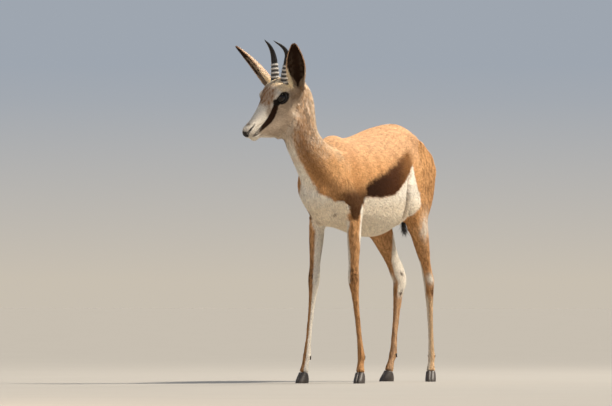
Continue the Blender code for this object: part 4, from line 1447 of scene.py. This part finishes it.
# painted highlight: the crests of the horn's growth ridges are paler
HORN_RIDGE_HIGHLIGHT = (0.52, 0.49, 0.45, 1)
CLAW_WORN = (0.070, 0.052, 0.040, 1)
PUPIL_COLOUR = (0.002, 0.002, 0.002, 1)
PUPIL_SQUASH = (1.0, 1.9, 1.0)
PUPIL_EDGE = (0.15, 0.21)
IRIS_STOPS = ((0.10, (0.018, 0.008, 0.004)), (0.42, (0.004, 0.003, 0.002)))
FLOOR_TONES = ((0.30, 0.272, 0.235, 1), (0.33, 0.300, 0.260, 1))


def new_material(name):
    material = bpy.data.materials.new(name)
    material.use_nodes = True
    return material, material.node_tree, material.node_tree.nodes["Principled BSDF"]


def dress(tree, node, **values):
    """Sets or links the sockets and settings of a node. An underscore stands for a space."""
    for key, value in values.items():
        socket = key.replace("_", " ")
        if socket not in node.inputs:
            setattr(node, key, value)
        elif isinstance(value, bpy.types.NodeSocket):
            tree.links.new(value, node.inputs[socket])
        else:
            node.inputs[socket].default_value = value
    return node


def add_node(tree, kind, **values):
    return dress(tree, tree.nodes.new(kind), **values)


def attribute(tree, name, output="Fac"):
    return add_node(tree, "ShaderNodeAttribute", attribute_name=name).outputs[output]


def noise(tree, scale, detail=3.0, rough=0.6, stretch=(1, 1, 1)):
    where = add_node(tree, "ShaderNodeTexCoord").outputs["Object"]
    drawn = add_node(tree, "ShaderNodeMapping", Vector=where, Scale=stretch).outputs["Vector"]
    node = add_node(
        tree, "ShaderNodeTexNoise", Vector=drawn, Scale=scale, Detail=detail, Roughness=rough
    )
    return node.outputs["Fac"]


def ranged(tree, value, low, high):
    node = add_node(tree, "ShaderNodeMapRange", Value=value, To_Min=low, To_Max=high)
    return node.outputs["Result"]


def blended(tree, first, second, share, how="MIX"):
    """Two colours mixed by a value."""
    node = add_node(tree, "ShaderNodeMix", data_type="RGBA", blend_type=how)
    return dress(tree, node, Factor=share, A=first, B=second).outputs["Result"]


def ramp(tree, value, stops):
    """A run of colours, each given with its place."""
    node = add_node(tree, "ShaderNodeValToRGB", Fac=value)
    elements = node.color_ramp.elements
    for _ in stops[2:]:
        elements.new(1.0)
    for i, (place, shade) in enumerate(stops):
        elements[i].position = place
        elements[i].color = (*shade, 1)
    return node.outputs["Color"]


def bumped(tree, height, distance, strength):
    node = add_node(
        tree, "ShaderNodeBump", Height=height, Distance=distance, Strength=strength
    )
    return node.outputs["Normal"]


def vectors(tree, operation, first, second=None):
    """A sum of vectors, or the length of one."""
    node = add_node(tree, "ShaderNodeVectorMath", operation=operation, Vector=first)
    if second is None:
        return node.outputs["Value"]
    node.inputs[1].default_value = second
    return node.outputs["Vector"]


def skin_material():
    material, tree, shader = new_material("springbok_skin")
    mottle = ranged(tree, noise(tree, 60, 4), 0.72, 1.12)
    base = blended(tree, attribute(tree, "coat", "Color"), mottle, 1.0, "MULTIPLY")
    rough = ranged(tree, attribute(tree, "wet"), 0.85, 0.30)
    normal = bumped(tree, noise(tree, 420, 4, 0.7, (1.0, 0.35, 1.0)), 0.0012, 0.8)
    dress(tree, shader, Base_Color=base, Roughness=rough, Normal=normal, Specular_IOR_Level=0.22)
    return material


def hair_material():
    material, tree, shader = new_material("springbok_coat")
    mottle = ranged(tree, noise(tree, 90, 3), 0.80, 1.14)
    base = blended(tree, attribute(tree, "coat", "Color"), mottle, 1.0, "MULTIPLY")
    dress(tree, shader, Base_Color=base, Roughness=0.70, Specular_IOR_Level=0.10)
    return material


def horn_material():
    material, tree, shader = new_material("springbok_horn")
    grain = noise(tree, 260, 5, 0.65, (1.0, 1.0, 0.25))
    # painted highlight on the crests of the ridges, read from the ridge attribute
    ridge_highlit = blended(tree, (*colour("horn"), 1), HORN_RIDGE_HIGHLIGHT, attribute(tree, "ridge"))
    base = blended(tree, ridge_highlit, ranged(tree, grain, 0.6, 1.4), 1.0, "MULTIPLY")
    rough = ranged(tree, grain, 0.36, 0.58)
    normal = bumped(tree, grain, 0.0006, 0.6)
    dress(tree, shader, Base_Color=base, Roughness=rough, Normal=normal, Specular_IOR_Level=0.30)
    return material


def claw_material():
    material, tree, shader = new_material("springbok_claw")
    grain = noise(tree, 180, 5, 0.7, (1.0, 1.0, 3.0))
    base = blended(tree, (*colour("claw"), 1), CLAW_WORN, grain)
    rough = ranged(tree, grain, 0.38, 0.62)
    dress(tree, shader, Base_Color=base, Roughness=rough, Normal=bumped(tree, grain, 0.0005, 0.6))
    return material


def eye_material():
    """Dark iris with a level pupil, read from the eye's own map, under a clear coat."""
    material, tree, shader = new_material("springbok_eye")
    where = add_node(tree, "ShaderNodeUVMap", uv_map="eye").outputs["UV"]
    centred = vectors(tree, "SUBTRACT", where, (0.5, 0.5, 0))
    across = vectors(tree, "LENGTH", vectors(tree, "MULTIPLY", centred, PUPIL_SQUASH))
    pupil = add_node(tree, "ShaderNodeMapRange", interpolation_type="SMOOTHSTEP", Value=across)
    dress(tree, pupil, From_Min=PUPIL_EDGE[0], From_Max=PUPIL_EDGE[1])
    iris = ramp(tree, vectors(tree, "LENGTH", centred), IRIS_STOPS)
    fleck = ranged(tree, noise(tree, 900, 4), 0.6, 1.4)
    base = blended(tree, iris, fleck, 1.0, "MULTIPLY")
    base = blended(tree, PUPIL_COLOUR, base, pupil.outputs["Result"])
    dress(tree, shader, Base_Color=base, Roughness=0.10, Specular_IOR_Level=0.20)
    dress(tree, shader, Coat_Weight=0.14, Coat_Roughness=0.03)
    return material


def floor_material():
    material, tree, shader = new_material("studio_floor")
    base = blended(tree, *FLOOR_TONES, noise(tree, 3, 2))
    dress(tree, shader, Base_Color=base, Roughness=0.9)
    return material


def studio_world():
    """Pale and cool above, falling to the floor's tone at the horizon."""
    world = bpy.data.worlds.new("studio")
    world.use_nodes = True
    tree = world.node_tree
    where = add_node(tree, "ShaderNodeTexCoord").outputs["Generated"]
    height = add_node(tree, "ShaderNodeSeparateXYZ", Vector=where).outputs["Z"]
    low_sky = [0.25 * a + 0.75 * b for a, b in zip(HORIZON, ZENITH)]
    sky = ramp(tree, height, list(zip(SKY_STOPS, (HORIZON, low_sky, ZENITH))))
    dress(tree, tree.nodes["Background"], Color=sky, Strength=SKY_STRENGTH)
    return world


# Finishing a piece


def set_floats(mesh, name, values):
    layer = mesh.attributes.new(name, "FLOAT", "POINT")
    layer.data.foreach_set("value", np.asarray(values, np.float32))


def set_colours(mesh, name, values):
    layer = mesh.attributes.new(name, "FLOAT_COLOR", "POINT")
    full = np.ones((len(values), 4), np.float32)
    full[:, :3] = values
    layer.data.foreach_set("color", full.ravel())


def finish_piece(obj, material, replaces=(), smooth=True):
    obj.data.materials.clear()
    obj.data.materials.append(material)
    if smooth:
        obj.data.shade_smooth()
    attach(obj, "root")
    if replaces:
        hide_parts(*replaces)
    return obj


def make_skin():
    skin = closed_flesh()
    subdivide_where(skin, lambda p: (face_weights(p) > 0.25) & (np.abs(to_head(p)[:, 0]) < 0.06))
    subdivide_where(skin, near_features)
    set_points(skin, spread(skin, points_of(skin), 2, 0.5 * face_weights(points_of(skin))))
    shape_face(skin)
    shape_fold(skin)
    points = points_of(skin)
    set_points(skin, spread(skin, points, 1, 0.35 * face_weights(points)))
    join_ears(skin)
    set_points(skin, points_of(skin) + np.array(SHIFT))
    colours, wet = coat_colours(points_of(skin))
    # painted shade: the skin darker than the tufts, as under the coat
    set_colours(skin.data, "coat", colours * SKIN_PAINTED_SHADE)
    set_floats(skin.data, "wet", wet)
    return finish_piece(skin, skin_material(), FLESH)


EYE_GAP = 0.0009
CORNEA_RISE = 0.0009


def make_eyes():
    material = eye_material()
    for side in ("left", "right"):
        sign = side_sign(side)
        out, lie, rise = (Vector(way) for way in eye_axes(sign))
        bm = bmesh.new()
        bmesh.ops.create_uvsphere(bm, u_segments=64, v_segments=40, radius=EYE_RADIUS)
        for vert in bm.verts:
            bulge = CORNEA_RISE * float(fade(vert.co.z / EYE_RADIUS, 0.70, 0.92))
            vert.co *= (EYE_RADIUS - EYE_GAP + bulge) / EYE_RADIUS
        layer = bm.loops.layers.uv.new("eye")
        for loop in (loop for face in bm.faces for loop in face.loops):
            at = loop.vert.co / EYE_RADIUS
            loop[layer].uv = (0.5 + at.x * 0.5, 0.5 + at.y * 0.5)
        turn = Matrix((lie, rise, out)).transposed().to_4x4()
        if turn.determinant() < 0:
            turn = Matrix((-lie, rise, out)).transposed().to_4x4()
        centre = Matrix.Translation((sign * EYE_AT.x, EYE_AT.y, EYE_AT.z))
        place = Matrix.Translation(SHIFT) @ HEAD @ centre @ turn
        bmesh.ops.transform(bm, matrix=place, verts=bm.verts)
        finish_piece(object_of("eyeball_" + side, bm), material, ("eye_" + side,))


HORN_AROUND = 40
HORN_STEPS = 26
RING_CENTRES = (0.0130, 0.0245, 0.0360, 0.0475, 0.0585)
RING_HEIGHT = 0.0016
RING_WIDTH = 0.0027
RINGS_END = (0.062, 0.072)
HORN_GAP = 0.0004


def horn_rings(side):
    """Rings of a horn in the head's frame, with its growth ridges, and how high each stands."""
    rows = smooth_rows(HORN, HORN_STEPS)
    sign = side_sign(side)
    centres = rows[:, :3] * (sign, 1, 1)
    along = np.gradient(centres, axis=0)
    along /= np.linalg.norm(along, axis=1)[:, None]
    lengths = np.cumsum(np.linalg.norm(np.diff(centres, axis=0, prepend=centres[:1]), axis=1))
    angles = np.arange(HORN_AROUND) / HORN_AROUND * 2 * math.pi
    rings, ridges = [], []
    for centre, tangent, radius, length in zip(centres, along, rows[:, 3], lengths):
        across = np.cross((0.0, 1.0, 0.0), tangent)
        across /= np.linalg.norm(across)
        other = np.cross(tangent, across)
        ridge = min(sum(bell(length - c, RING_WIDTH) for c in RING_CENTRES), 1.0)
        ringed = float(fall(length, *RINGS_END))
        grow = RING_HEIGHT * (ridge - 0.55) * ringed * min(1.0, radius / 0.010)
        wobble = 1 + 0.020 * np.cos(3 * angles + length * 90) * ringed
        around = np.cos(angles)[:, None] * across + np.sin(angles)[:, None] * other
        rings.append(centre + around * ((radius - HORN_GAP) * wobble + grow)[:, None])
        ridges.append(ridge * ringed)
    return rings, ridges


def make_horns():
    material = horn_material()
    for side in ("left", "right"):
        rings, ridges = horn_rings(side)
        bm = bmesh.new()
        loft(bm, rings, Matrix.Translation(SHIFT) @ HEAD)
        obj = object_of("horn_sheath_" + side, bm)
        set_floats(obj.data, "ridge", np.repeat(ridges, HORN_AROUND))
        finish_piece(obj, material, ("horn_" + side,))


CLAW_AROUND = 22
CLAW_STEPS = 4
CLAW_RIDGE = 0.00018
DEWCLAW_ROUND = 0.0008


def claw_rings(part):
    """Rings of a claw, rounded on the outside and flat towards its neighbour."""
    rings = []
    for height, heel, toe, breadth in smooth_rows(CLAW, CLAW_STEPS):
        middle, reach = (heel + toe) / 2, (heel - toe) / 2
        outline = []
        for a in np.linspace(0, math.pi, CLAW_AROUND):
            x = breadth * max(math.sin(a), 0) ** 0.75
            outline.append((x, middle - reach * math.cos(a)))
        for share in np.linspace(0.12, 0.88, 8):
            outline.append((0.0, heel - share * 2 * reach * 0.97))
        ridge = CLAW_RIDGE * math.sin(height * 1500)
        ring = []
        for x, y in outline:
            tilt = -CORONET_SLOPE * (y - middle) * max(height, 0) / CLAW_TOP
            grown = x + (ridge if x > breadth * 0.3 else 0)
            ring.append((part * (grown + CLAW_SPLIT / 2), y, max(height, 0) + tilt))
        rings.append(np.array(ring if part > 0 else ring[::-1]))
    return rings


def dewclaw(bm, place):
    """A blunt cone with rounded rims."""
    root, tip, depth = DEWCLAW_SIZE
    made = bmesh.ops.create_cone(
        bm, cap_ends=True, segments=20, radius1=tip, radius2=root, depth=depth, matrix=place
    )
    edges = {e for v in made["verts"] for e in v.link_edges if len(e.link_faces) == 2}
    rims = [e for e in edges if e.calc_face_angle(0) > 0.8]
    bmesh.ops.bevel(
        bm, geom=rims, offset=DEWCLAW_ROUND, segments=3, profile=0.5, affect="EDGES", material=-1
    )


def make_hooves():
    material = claw_material()
    lean = Matrix.Rotation(math.radians(DEWCLAW_LEAN), 4, "X")
    shift = Matrix.Translation(SHIFT)
    for foot, (place, fetlock, yaw) in foot_frames().items():
        bm = bmesh.new()
        for part in (1, -1):
            loft(bm, claw_rings(part), shift @ place)
            beside, behind, over = DEWCLAW
            at = fetlock + yaw.to_3x3() @ Vector((part * beside, behind, over))
            dewclaw(bm, shift @ Matrix.Translation(at) @ yaw @ lean)
        obj = object_of("hoof_" + foot, bm)
        kinds = ("claw", "dewclaw")
        nodes = [f"{kind}_{foot}_{edge}" for kind in kinds for edge in ("inner", "outer")]
        finish_piece(obj, material, nodes)


# The coat


def triangles_of(obj):
    obj.data.calc_loop_triangles()
    corners = np.empty(len(obj.data.loop_triangles) * 3, np.int32)
    obj.data.loop_triangles.foreach_get("vertices", corners)
    return corners.reshape(-1, 3)


LIE_ROUNDS = 30


class Hide:
    """The skin's surface as arrays, from which tufts take their roots."""

    def __init__(self):
        skin = bpy.data.objects["skin"]
        self.points = points_of(skin)
        self.normals = normals_of(skin)
        self.faces = triangles_of(skin)
        body = self.points - np.array(SHIFT)
        at = locate(body)
        lie = hair_lie(body, at, self.normals)
        ear = at[:, 0] == PARTS.index("ear")
        share = np.where(ear, 0.2, 0.6)
        self.lie = spread(skin, lie, LIE_ROUNDS, share)
        self.at = at
        a, b, c = (self.points[self.faces[:, k]] for k in range(3))
        self.areas = np.linalg.norm(np.cross(b - a, c - a), axis=1) / 2
        self.middles = (a + b + c) / 3 - np.array(SHIFT)
        self.part = at[self.faces[:, 0], 0].astype(int)


def plant(hide, mask, count, rng):
    """Roots spread over the faces of a region."""
    total = np.cumsum(hide.areas * mask)
    picks = np.searchsorted(total, (np.arange(count) + rng.random(count)) / count * total[-1])
    picks = np.minimum(picks, len(total) - 1)
    faces = hide.faces[picks]
    r1, r2 = np.sqrt(rng.random(count)), rng.random(count)
    shares = np.stack([1 - r1, r1 * (1 - r2), r1 * r2], 1)[:, :, None]
    roots, normals, lie = ((a[faces] * shares).sum(1) for a in (hide.points, hide.normals, hide.lie))
    return roots, unit(normals), lie, picks


BLADE_TURN = 0.22
BLADE_TILT = 0.25
BLADE_SINK = 0.0004
BLADE_PAINTED_SHADES = (0.82, 0.82, 1.02, 1.02, 1.18)  # painted shade deep in the coat, darker at the root and paler at the tip: from the root to the tip
BLADE_UNEVEN = 0.16
BLADE_CORNERS = (0, 1, 2, 3, 3, 2, 4)
PATCH = 0.003 * np.array([(-0.4, -0.5), (0.4, -0.5), (0.5, 0.0), (-0.5, 0.0), (0.0, 0.5)])


def blades(roots, normals, lie, sizes_of, rng):
    """Corners of blades of three triangles: broad at the root, rising a little to a pointed tip."""
    count = len(roots)
    way = unit(lie - normals * np.sum(lie * normals, 1)[:, None])
    across = np.cross(normals, way)
    turn = rng.normal(0, BLADE_TURN, count)[:, None]
    c, s = np.cos(turn), np.sin(turn)
    way, across = way * c + across * s, across * c - way * s
    tilt = rng.normal(0, BLADE_TILT, count)[:, None]
    edge = across * np.cos(tilt) + normals * np.sin(tilt)
    lengths, widths, lifts = (column[:, None] for column in sizes_of.T)
    base = roots - normals * BLADE_SINK
    middle = roots + way * lengths * 0.5 + normals * lifts * 0.75
    tip = roots + way * lengths + normals * lifts
    low, half = edge * widths * 0.42, edge * widths * 0.5
    return np.stack([base - low, base + low, middle + half, middle - half, tip], 1)


def coat_piece(name, points, colours, chart, rng):
    """Blades joined into one mesh inside the box of the CAD, with colours and a map to bake to."""
    count = len(points)
    points = np.clip(points.reshape(-1, 3), *(np.array(corner) for corner in CAD_BOX))
    starts = np.arange(count, dtype=np.int32)[:, None] * len(BLADE_PAINTED_SHADES)
    loops = (starts + np.array(BLADE_CORNERS, np.int32)).ravel()
    mesh = bpy.data.meshes.new(name)
    mesh.vertices.add(len(points))
    mesh.vertices.foreach_set("co", points.ravel())
    mesh.loops.add(len(loops))
    mesh.loops.foreach_set("vertex_index", loops)
    mesh.polygons.add(count * 2)
    sides = np.tile(np.array([4, 3], np.int32), count)
    begins = np.concatenate([[0], np.cumsum(sides)[:-1]]).astype(np.int32)
    mesh.polygons.foreach_set("loop_start", begins)
    mesh.update(calc_edges=True)
    own = 1 + rng.normal(0, BLADE_UNEVEN, count)[:, None, None]
    # painted shade: each blade darker at the root than at the tip
    shade = np.array(BLADE_PAINTED_SHADES)[None, :, None]
    full = (colours[:, None, :] * shade * np.clip(own, 0.6, 1.4)).reshape(-1, 3)
    set_colours(mesh, "coat", np.clip(full, 0, 1))
    corner = (chart[:, None, :] + PATCH).reshape(-1, 2)[loops]
    layer = mesh.uv_layers.new(name="OFBake")
    layer.data.foreach_set("uv", corner.astype(np.float32).ravel())
    obj = bpy.data.objects.new(name, mesh)
    bpy.context.scene.collection.objects.link(obj)
    return obj


HEAD_CHART_AXIS = -0.035  # height of the line in the head that its chart is wrapped round


def chart_of(name, body, at):
    """Places on an unwrap of the part: round its axis and along it. Each ear has its own half."""
    if name == "coat_head":
        x, share, z = to_head(body).T
        turn = np.arctan2(x, z - HEAD_CHART_AXIS) / (2 * math.pi) + 0.5
    else:
        across, ahead = around_axis(body, at)
        turn = np.arctan2(across, ahead) / (2 * math.pi) + 0.5
        share = at[:, 3] + np.sum((body - at[:, 4:7]) * at[:, 7:10], 1) * 0.8
    if name == "coat_ears":
        turn = np.where(at[:, 1] > 0, turn * 0.48, 0.52 + turn * 0.48)
    share = (share - share.min()) / max(np.ptp(share), 1e-6)
    return 0.01 + 0.98 * np.stack([turn, share], 1)


# Coat regions: name, part, whether each side has a piece of its own, how far back it starts and
# ends, tufts in a piece, and length, width and lift as shares of the body's tufts
REGIONS = (
    ("coat_shoulders", "trunk", True, (-0.1, 0.27), 41000, 1.0, 1.0, 1.0),
    ("coat_flank", "trunk", True, (0.27, 0.50), 49000, 1.05, 1.0, 1.0),
    ("coat_rump", "trunk", True, (0.50, 0.9), 34000, 1.0, 1.0, 1.0),
    ("coat_neck", "neck", False, None, 48000, 1.05, 0.9, 1.15),
    ("coat_head", "head", False, None, 46000, 0.38, 0.50, 0.32),
    ("coat_fore", "fore", True, None, 27000, 0.60, 0.62, 0.42),
    ("coat_hind", "hind", True, None, 36000, 0.75, 0.75, 0.50),
    ("coat_ears", "ear", False, None, 24000, 0.42, 0.42, 0.30),
    ("coat_tail", "tail", False, None, 5000, 0.8, 0.6, 0.5),
)
BARE = 0.4  # no hair grows where the skin is wetter than this
HOOF_TOP = 0.0265
TAIL_LENGTHENS = 2.6
TAIL_LIFTS = 1.5


def keep_off_eyes(body):
    """False where no hair grows on the eyeballs' openings."""
    head = to_head(body)
    open_ = np.ones(len(body), bool)
    for sign in (1, -1):
        out, lie, rise = eye_axes(sign)
        rel = head - np.array(EYE_AT) * (sign, 1, 1)
        ring = np.sqrt((rel @ lie / 0.0185) ** 2 + (rel @ rise / 0.0145) ** 2)
        open_ &= ~((ring < 1.0) & (rel @ out > 0))
    return open_


def region_mask(hide, part, sign, span):
    """True for the faces of a region: its part, its side and its stretch of the trunk."""
    mask = hide.part == PARTS.index(part)
    if span:
        x, y = hide.middles[:, 0], hide.middles[:, 1]
        return mask & (x * sign > 0) & (y >= span[0]) & (y < span[1])
    return mask & (hide.at[hide.faces[:, 0], 1] == sign) if sign else mask


def make_coat():
    hide = Hide()
    material = hair_material()
    seed = sizes().seed
    for name, part, sided, span, count, *shares in REGIONS:
        for side in ("left", "right") if sided else ("",):
            rng = np.random.default_rng(seed)
            mask = region_mask(hide, part, side_sign(side) if side else 0, span)
            piece = f"{name}_{side}" if side else name
            grow_region(piece, hide, mask, count, shares, rng, material)
            seed += 1


def grow_region(name, hide, mask, count, shares, rng, material):
    s = sizes()
    long_, wide, high = shares
    count = int(count * s.tufts * (1))
    roots, normals, lie, picks = plant(hide, mask, count, rng)
    body = roots - np.array(SHIFT)
    colours, wet = coat_colours(roots)
    keep = wet < BARE
    if name == "coat_head":
        keep &= keep_off_eyes(body)
    if name.startswith(("coat_fore", "coat_hind")):
        keep &= body[:, 2] > HOOF_TOP
    roots, normals, lie, colours, body = (a[keep] for a in (roots, normals, lie, colours, body))
    at = hide.at[hide.faces[picks[keep], 0]]
    count = len(roots)
    uneven = 0.75 + 0.5 * wave(body, 0.04, 31)
    scale = shape_scale(name, body)
    lengths = s.tuft_length * long_ * scale * rng.uniform(0.65, 1.15, count) * uneven
    widths = s.tuft_width * wide * rng.uniform(0.7, 1.3, count) * scale**0.5
    lifts = s.coat_depth * 0.80 * high * scale * rng.uniform(0.25, 1.05, count)
    if name == "coat_tail":
        long_hair = fall(body[:, 2], TAIL_HAIR_FROM - 0.01, TAIL_HAIR_FROM + 0.01)
        lengths = lengths * (1 + TAIL_LENGTHENS * long_hair)
        lifts = lifts * (1 + TAIL_LIFTS * long_hair)
    sizes_of = np.stack([lengths, widths, lifts], 1)
    points = blades(roots, normals, lie, sizes_of, rng)
    obj = coat_piece(name, points, colours, chart_of(name, body, at), rng)
    finish_piece(obj, material, smooth=False)


def shape_scale(name, body):
    """How tufts shrink towards the nose and the feet, and on the belly they grow."""
    if name == "coat_head":
        head = to_head(body)
        return 0.62 + 0.85 * fade(head[:, 1], -0.12, 0.05) + 0.3 * fade(-head[:, 2], 0.05, 0.09)
    if name.startswith(("coat_fore", "coat_hind")):
        return 0.62 + 0.75 * fade(body[:, 2], 0.26, 0.48)
    if name.startswith(("coat_shoulders", "coat_flank", "coat_rump")):
        belly = fall(body[:, 2], 0.46, 0.53)
        fold = fade(body[:, 1], 0.50, 0.60) * fade(body[:, 2], 0.66, 0.70)
        return 1 + 0.35 * belly + 0.35 * fold * fall(np.abs(body[:, 0]), 0.014, 0.028)
    if name == "coat_neck":
        return 0.85 + 0.25 * fade(body[:, 2], 0.62, 0.74)
    return np.ones(len(body))


# The stage

HORIZON = (0.825, 0.743, 0.623)
ZENITH = (0.38, 0.48, 0.62)
SKY_STRENGTH = 0.70
SKY_STOPS = (0.0, 0.022, 0.5)
LIGHTS_AIM = Vector((0, 0, 0.55))
# Name, kind, azimuth, elevation, distance, power and tint. Azimuth 0 is ahead and 90 is left
LIGHTS = (
    ("key", "SUN", 106, 53, 6.0, 5.9, (1.0, 0.92, 0.79)),
    ("fill", "AREA", 5, 6, 5.0, 34, (1.0, 0.78, 0.56)),
    ("rim", "AREA", 170, 50, 4.5, 90, (1.0, 0.95, 0.88)),
)
SUN_SPREAD = math.radians(8)
DISKS = {"fill": 3.0, "rim": 1.4}
FLOOR_SIZE = 60
SENSOR_WIDTH = 36


def aim(obj, at, target):
    obj.location = at
    obj.rotation_mode = "QUATERNION"
    obj.rotation_quaternion = (Vector(target) - Vector(at)).to_track_quat("-Z", "Y")


def direction(azimuth, elevation):
    a, e = math.radians(azimuth), math.radians(elevation)
    return Vector((math.sin(a) * math.cos(e), -math.cos(a) * math.cos(e), math.sin(e)))


def add_light(name, kind, azimuth, elevation, distance, power, tint):
    light = bpy.data.lights.new(name, kind)
    light.energy = power
    light.color = tint
    if kind == "SUN":
        light.angle = SUN_SPREAD
    else:
        light.shape = "DISK"
        light.size = DISKS[name]
    obj = bpy.data.objects.new(name, light)
    bpy.context.scene.collection.objects.link(obj)
    aim(obj, LIGHTS_AIM + direction(azimuth, elevation) * distance, LIGHTS_AIM)


def make_stage():
    bm = bmesh.new()
    bmesh.ops.create_grid(bm, x_segments=2, y_segments=2, size=FLOOR_SIZE)
    obj = object_of("floor", bm)
    obj.data.materials.append(floor_material())
    for light in LIGHTS:
        add_light(*light)
    bpy.context.scene.world = studio_world()
    camera = bpy.data.objects.new("camera", bpy.data.cameras.new("camera"))
    bpy.context.scene.collection.objects.link(camera)
    target = Vector((0, 0, PHOTO_AIM)) + SHIFT
    at = target + direction(PHOTO_AZIMUTH, 0) * PHOTO_DISTANCE
    at.z = PHOTO_CAMERA_HEIGHT
    aim(camera, at, target)
    camera.data.sensor_width = SENSOR_WIDTH
    camera.data.lens = SENSOR_WIDTH * PHOTO_DISTANCE * PHOTO_SCALE / PHOTO_PIXELS
    camera.data.clip_end = 200
    bpy.context.scene.camera = camera
    bpy.context.scene.view_settings.view_transform = "Standard"


# Operators


class SPRINGBOK_OT_skin(bpy.types.Operator):
    """Makes the skin over the whole body"""

    bl_idname = "springbok.skin"
    bl_label = "Skin"

    def execute(self, context):
        make_skin()
        return {"FINISHED"}


class SPRINGBOK_OT_eyes(bpy.types.Operator):
    """Makes both eyeballs"""

    bl_idname = "springbok.eyes"
    bl_label = "Eyes"

    def execute(self, context):
        make_eyes()
        return {"FINISHED"}


class SPRINGBOK_OT_horns(bpy.types.Operator):
    """Makes both horns"""

    bl_idname = "springbok.horns"
    bl_label = "Horns"

    def execute(self, context):
        make_horns()
        return {"FINISHED"}


class SPRINGBOK_OT_hooves(bpy.types.Operator):
    """Makes the hooves and dewclaws"""

    bl_idname = "springbok.hooves"
    bl_label = "Hooves"

    def execute(self, context):
        make_hooves()
        return {"FINISHED"}


class SPRINGBOK_OT_coat(bpy.types.Operator):
    """Plants the coat on the skin"""

    bl_idname = "springbok.coat"
    bl_label = "Coat"

    def execute(self, context):
        make_coat()
        return {"FINISHED"}


class SPRINGBOK_OT_stage(bpy.types.Operator):
    """Makes the floor, the lights and the camera"""

    bl_idname = "springbok.stage"
    bl_label = "Stage"

    def execute(self, context):
        make_stage()
        return {"FINISHED"}


OPERATORS = (
    SPRINGBOK_OT_skin,
    SPRINGBOK_OT_eyes,
    SPRINGBOK_OT_horns,
    SPRINGBOK_OT_hooves,
    SPRINGBOK_OT_coat,
    SPRINGBOK_OT_stage,
)


class SPRINGBOK_PT_panel(bpy.types.Panel):
    """Lists the sizes, the colours and the pieces"""

    bl_idname = "SPRINGBOK_PT_panel"
    bl_label = "Springbok"
    bl_space_type = "VIEW_3D"
    bl_region_type = "UI"
    bl_category = "Springbok"

    def draw(self, context):
        for group in (context.scene.springbok_sizes, context.scene.springbok_colours):
            column = self.layout.column()
            for name in group.bl_rna.properties.keys():
                if name not in ("rna_type", "name"):
                    column.prop(group, name)
        for operator in OPERATORS:
            self.layout.operator(operator.bl_idname)


CLASSES = (SpringbokSizes, SpringbokColours, *OPERATORS, SPRINGBOK_PT_panel)


def register():
    for item in CLASSES:
        bpy.utils.register_class(item)
    bpy.types.Scene.springbok_sizes = bpy.props.PointerProperty(type=SpringbokSizes)
    bpy.types.Scene.springbok_colours = bpy.props.PointerProperty(type=SpringbokColours)


def unregister():
    del bpy.types.Scene.springbok_colours
    del bpy.types.Scene.springbok_sizes
    for item in reversed(CLASSES):
        bpy.utils.unregister_class(item)


def main():
    register()
    bpy.ops.springbok.skin()
    bpy.ops.springbok.eyes()
    bpy.ops.springbok.horns()
    bpy.ops.springbok.hooves()
    bpy.ops.springbok.coat()
    bpy.ops.springbok.stage()


if __name__ == "__main__":
    main()
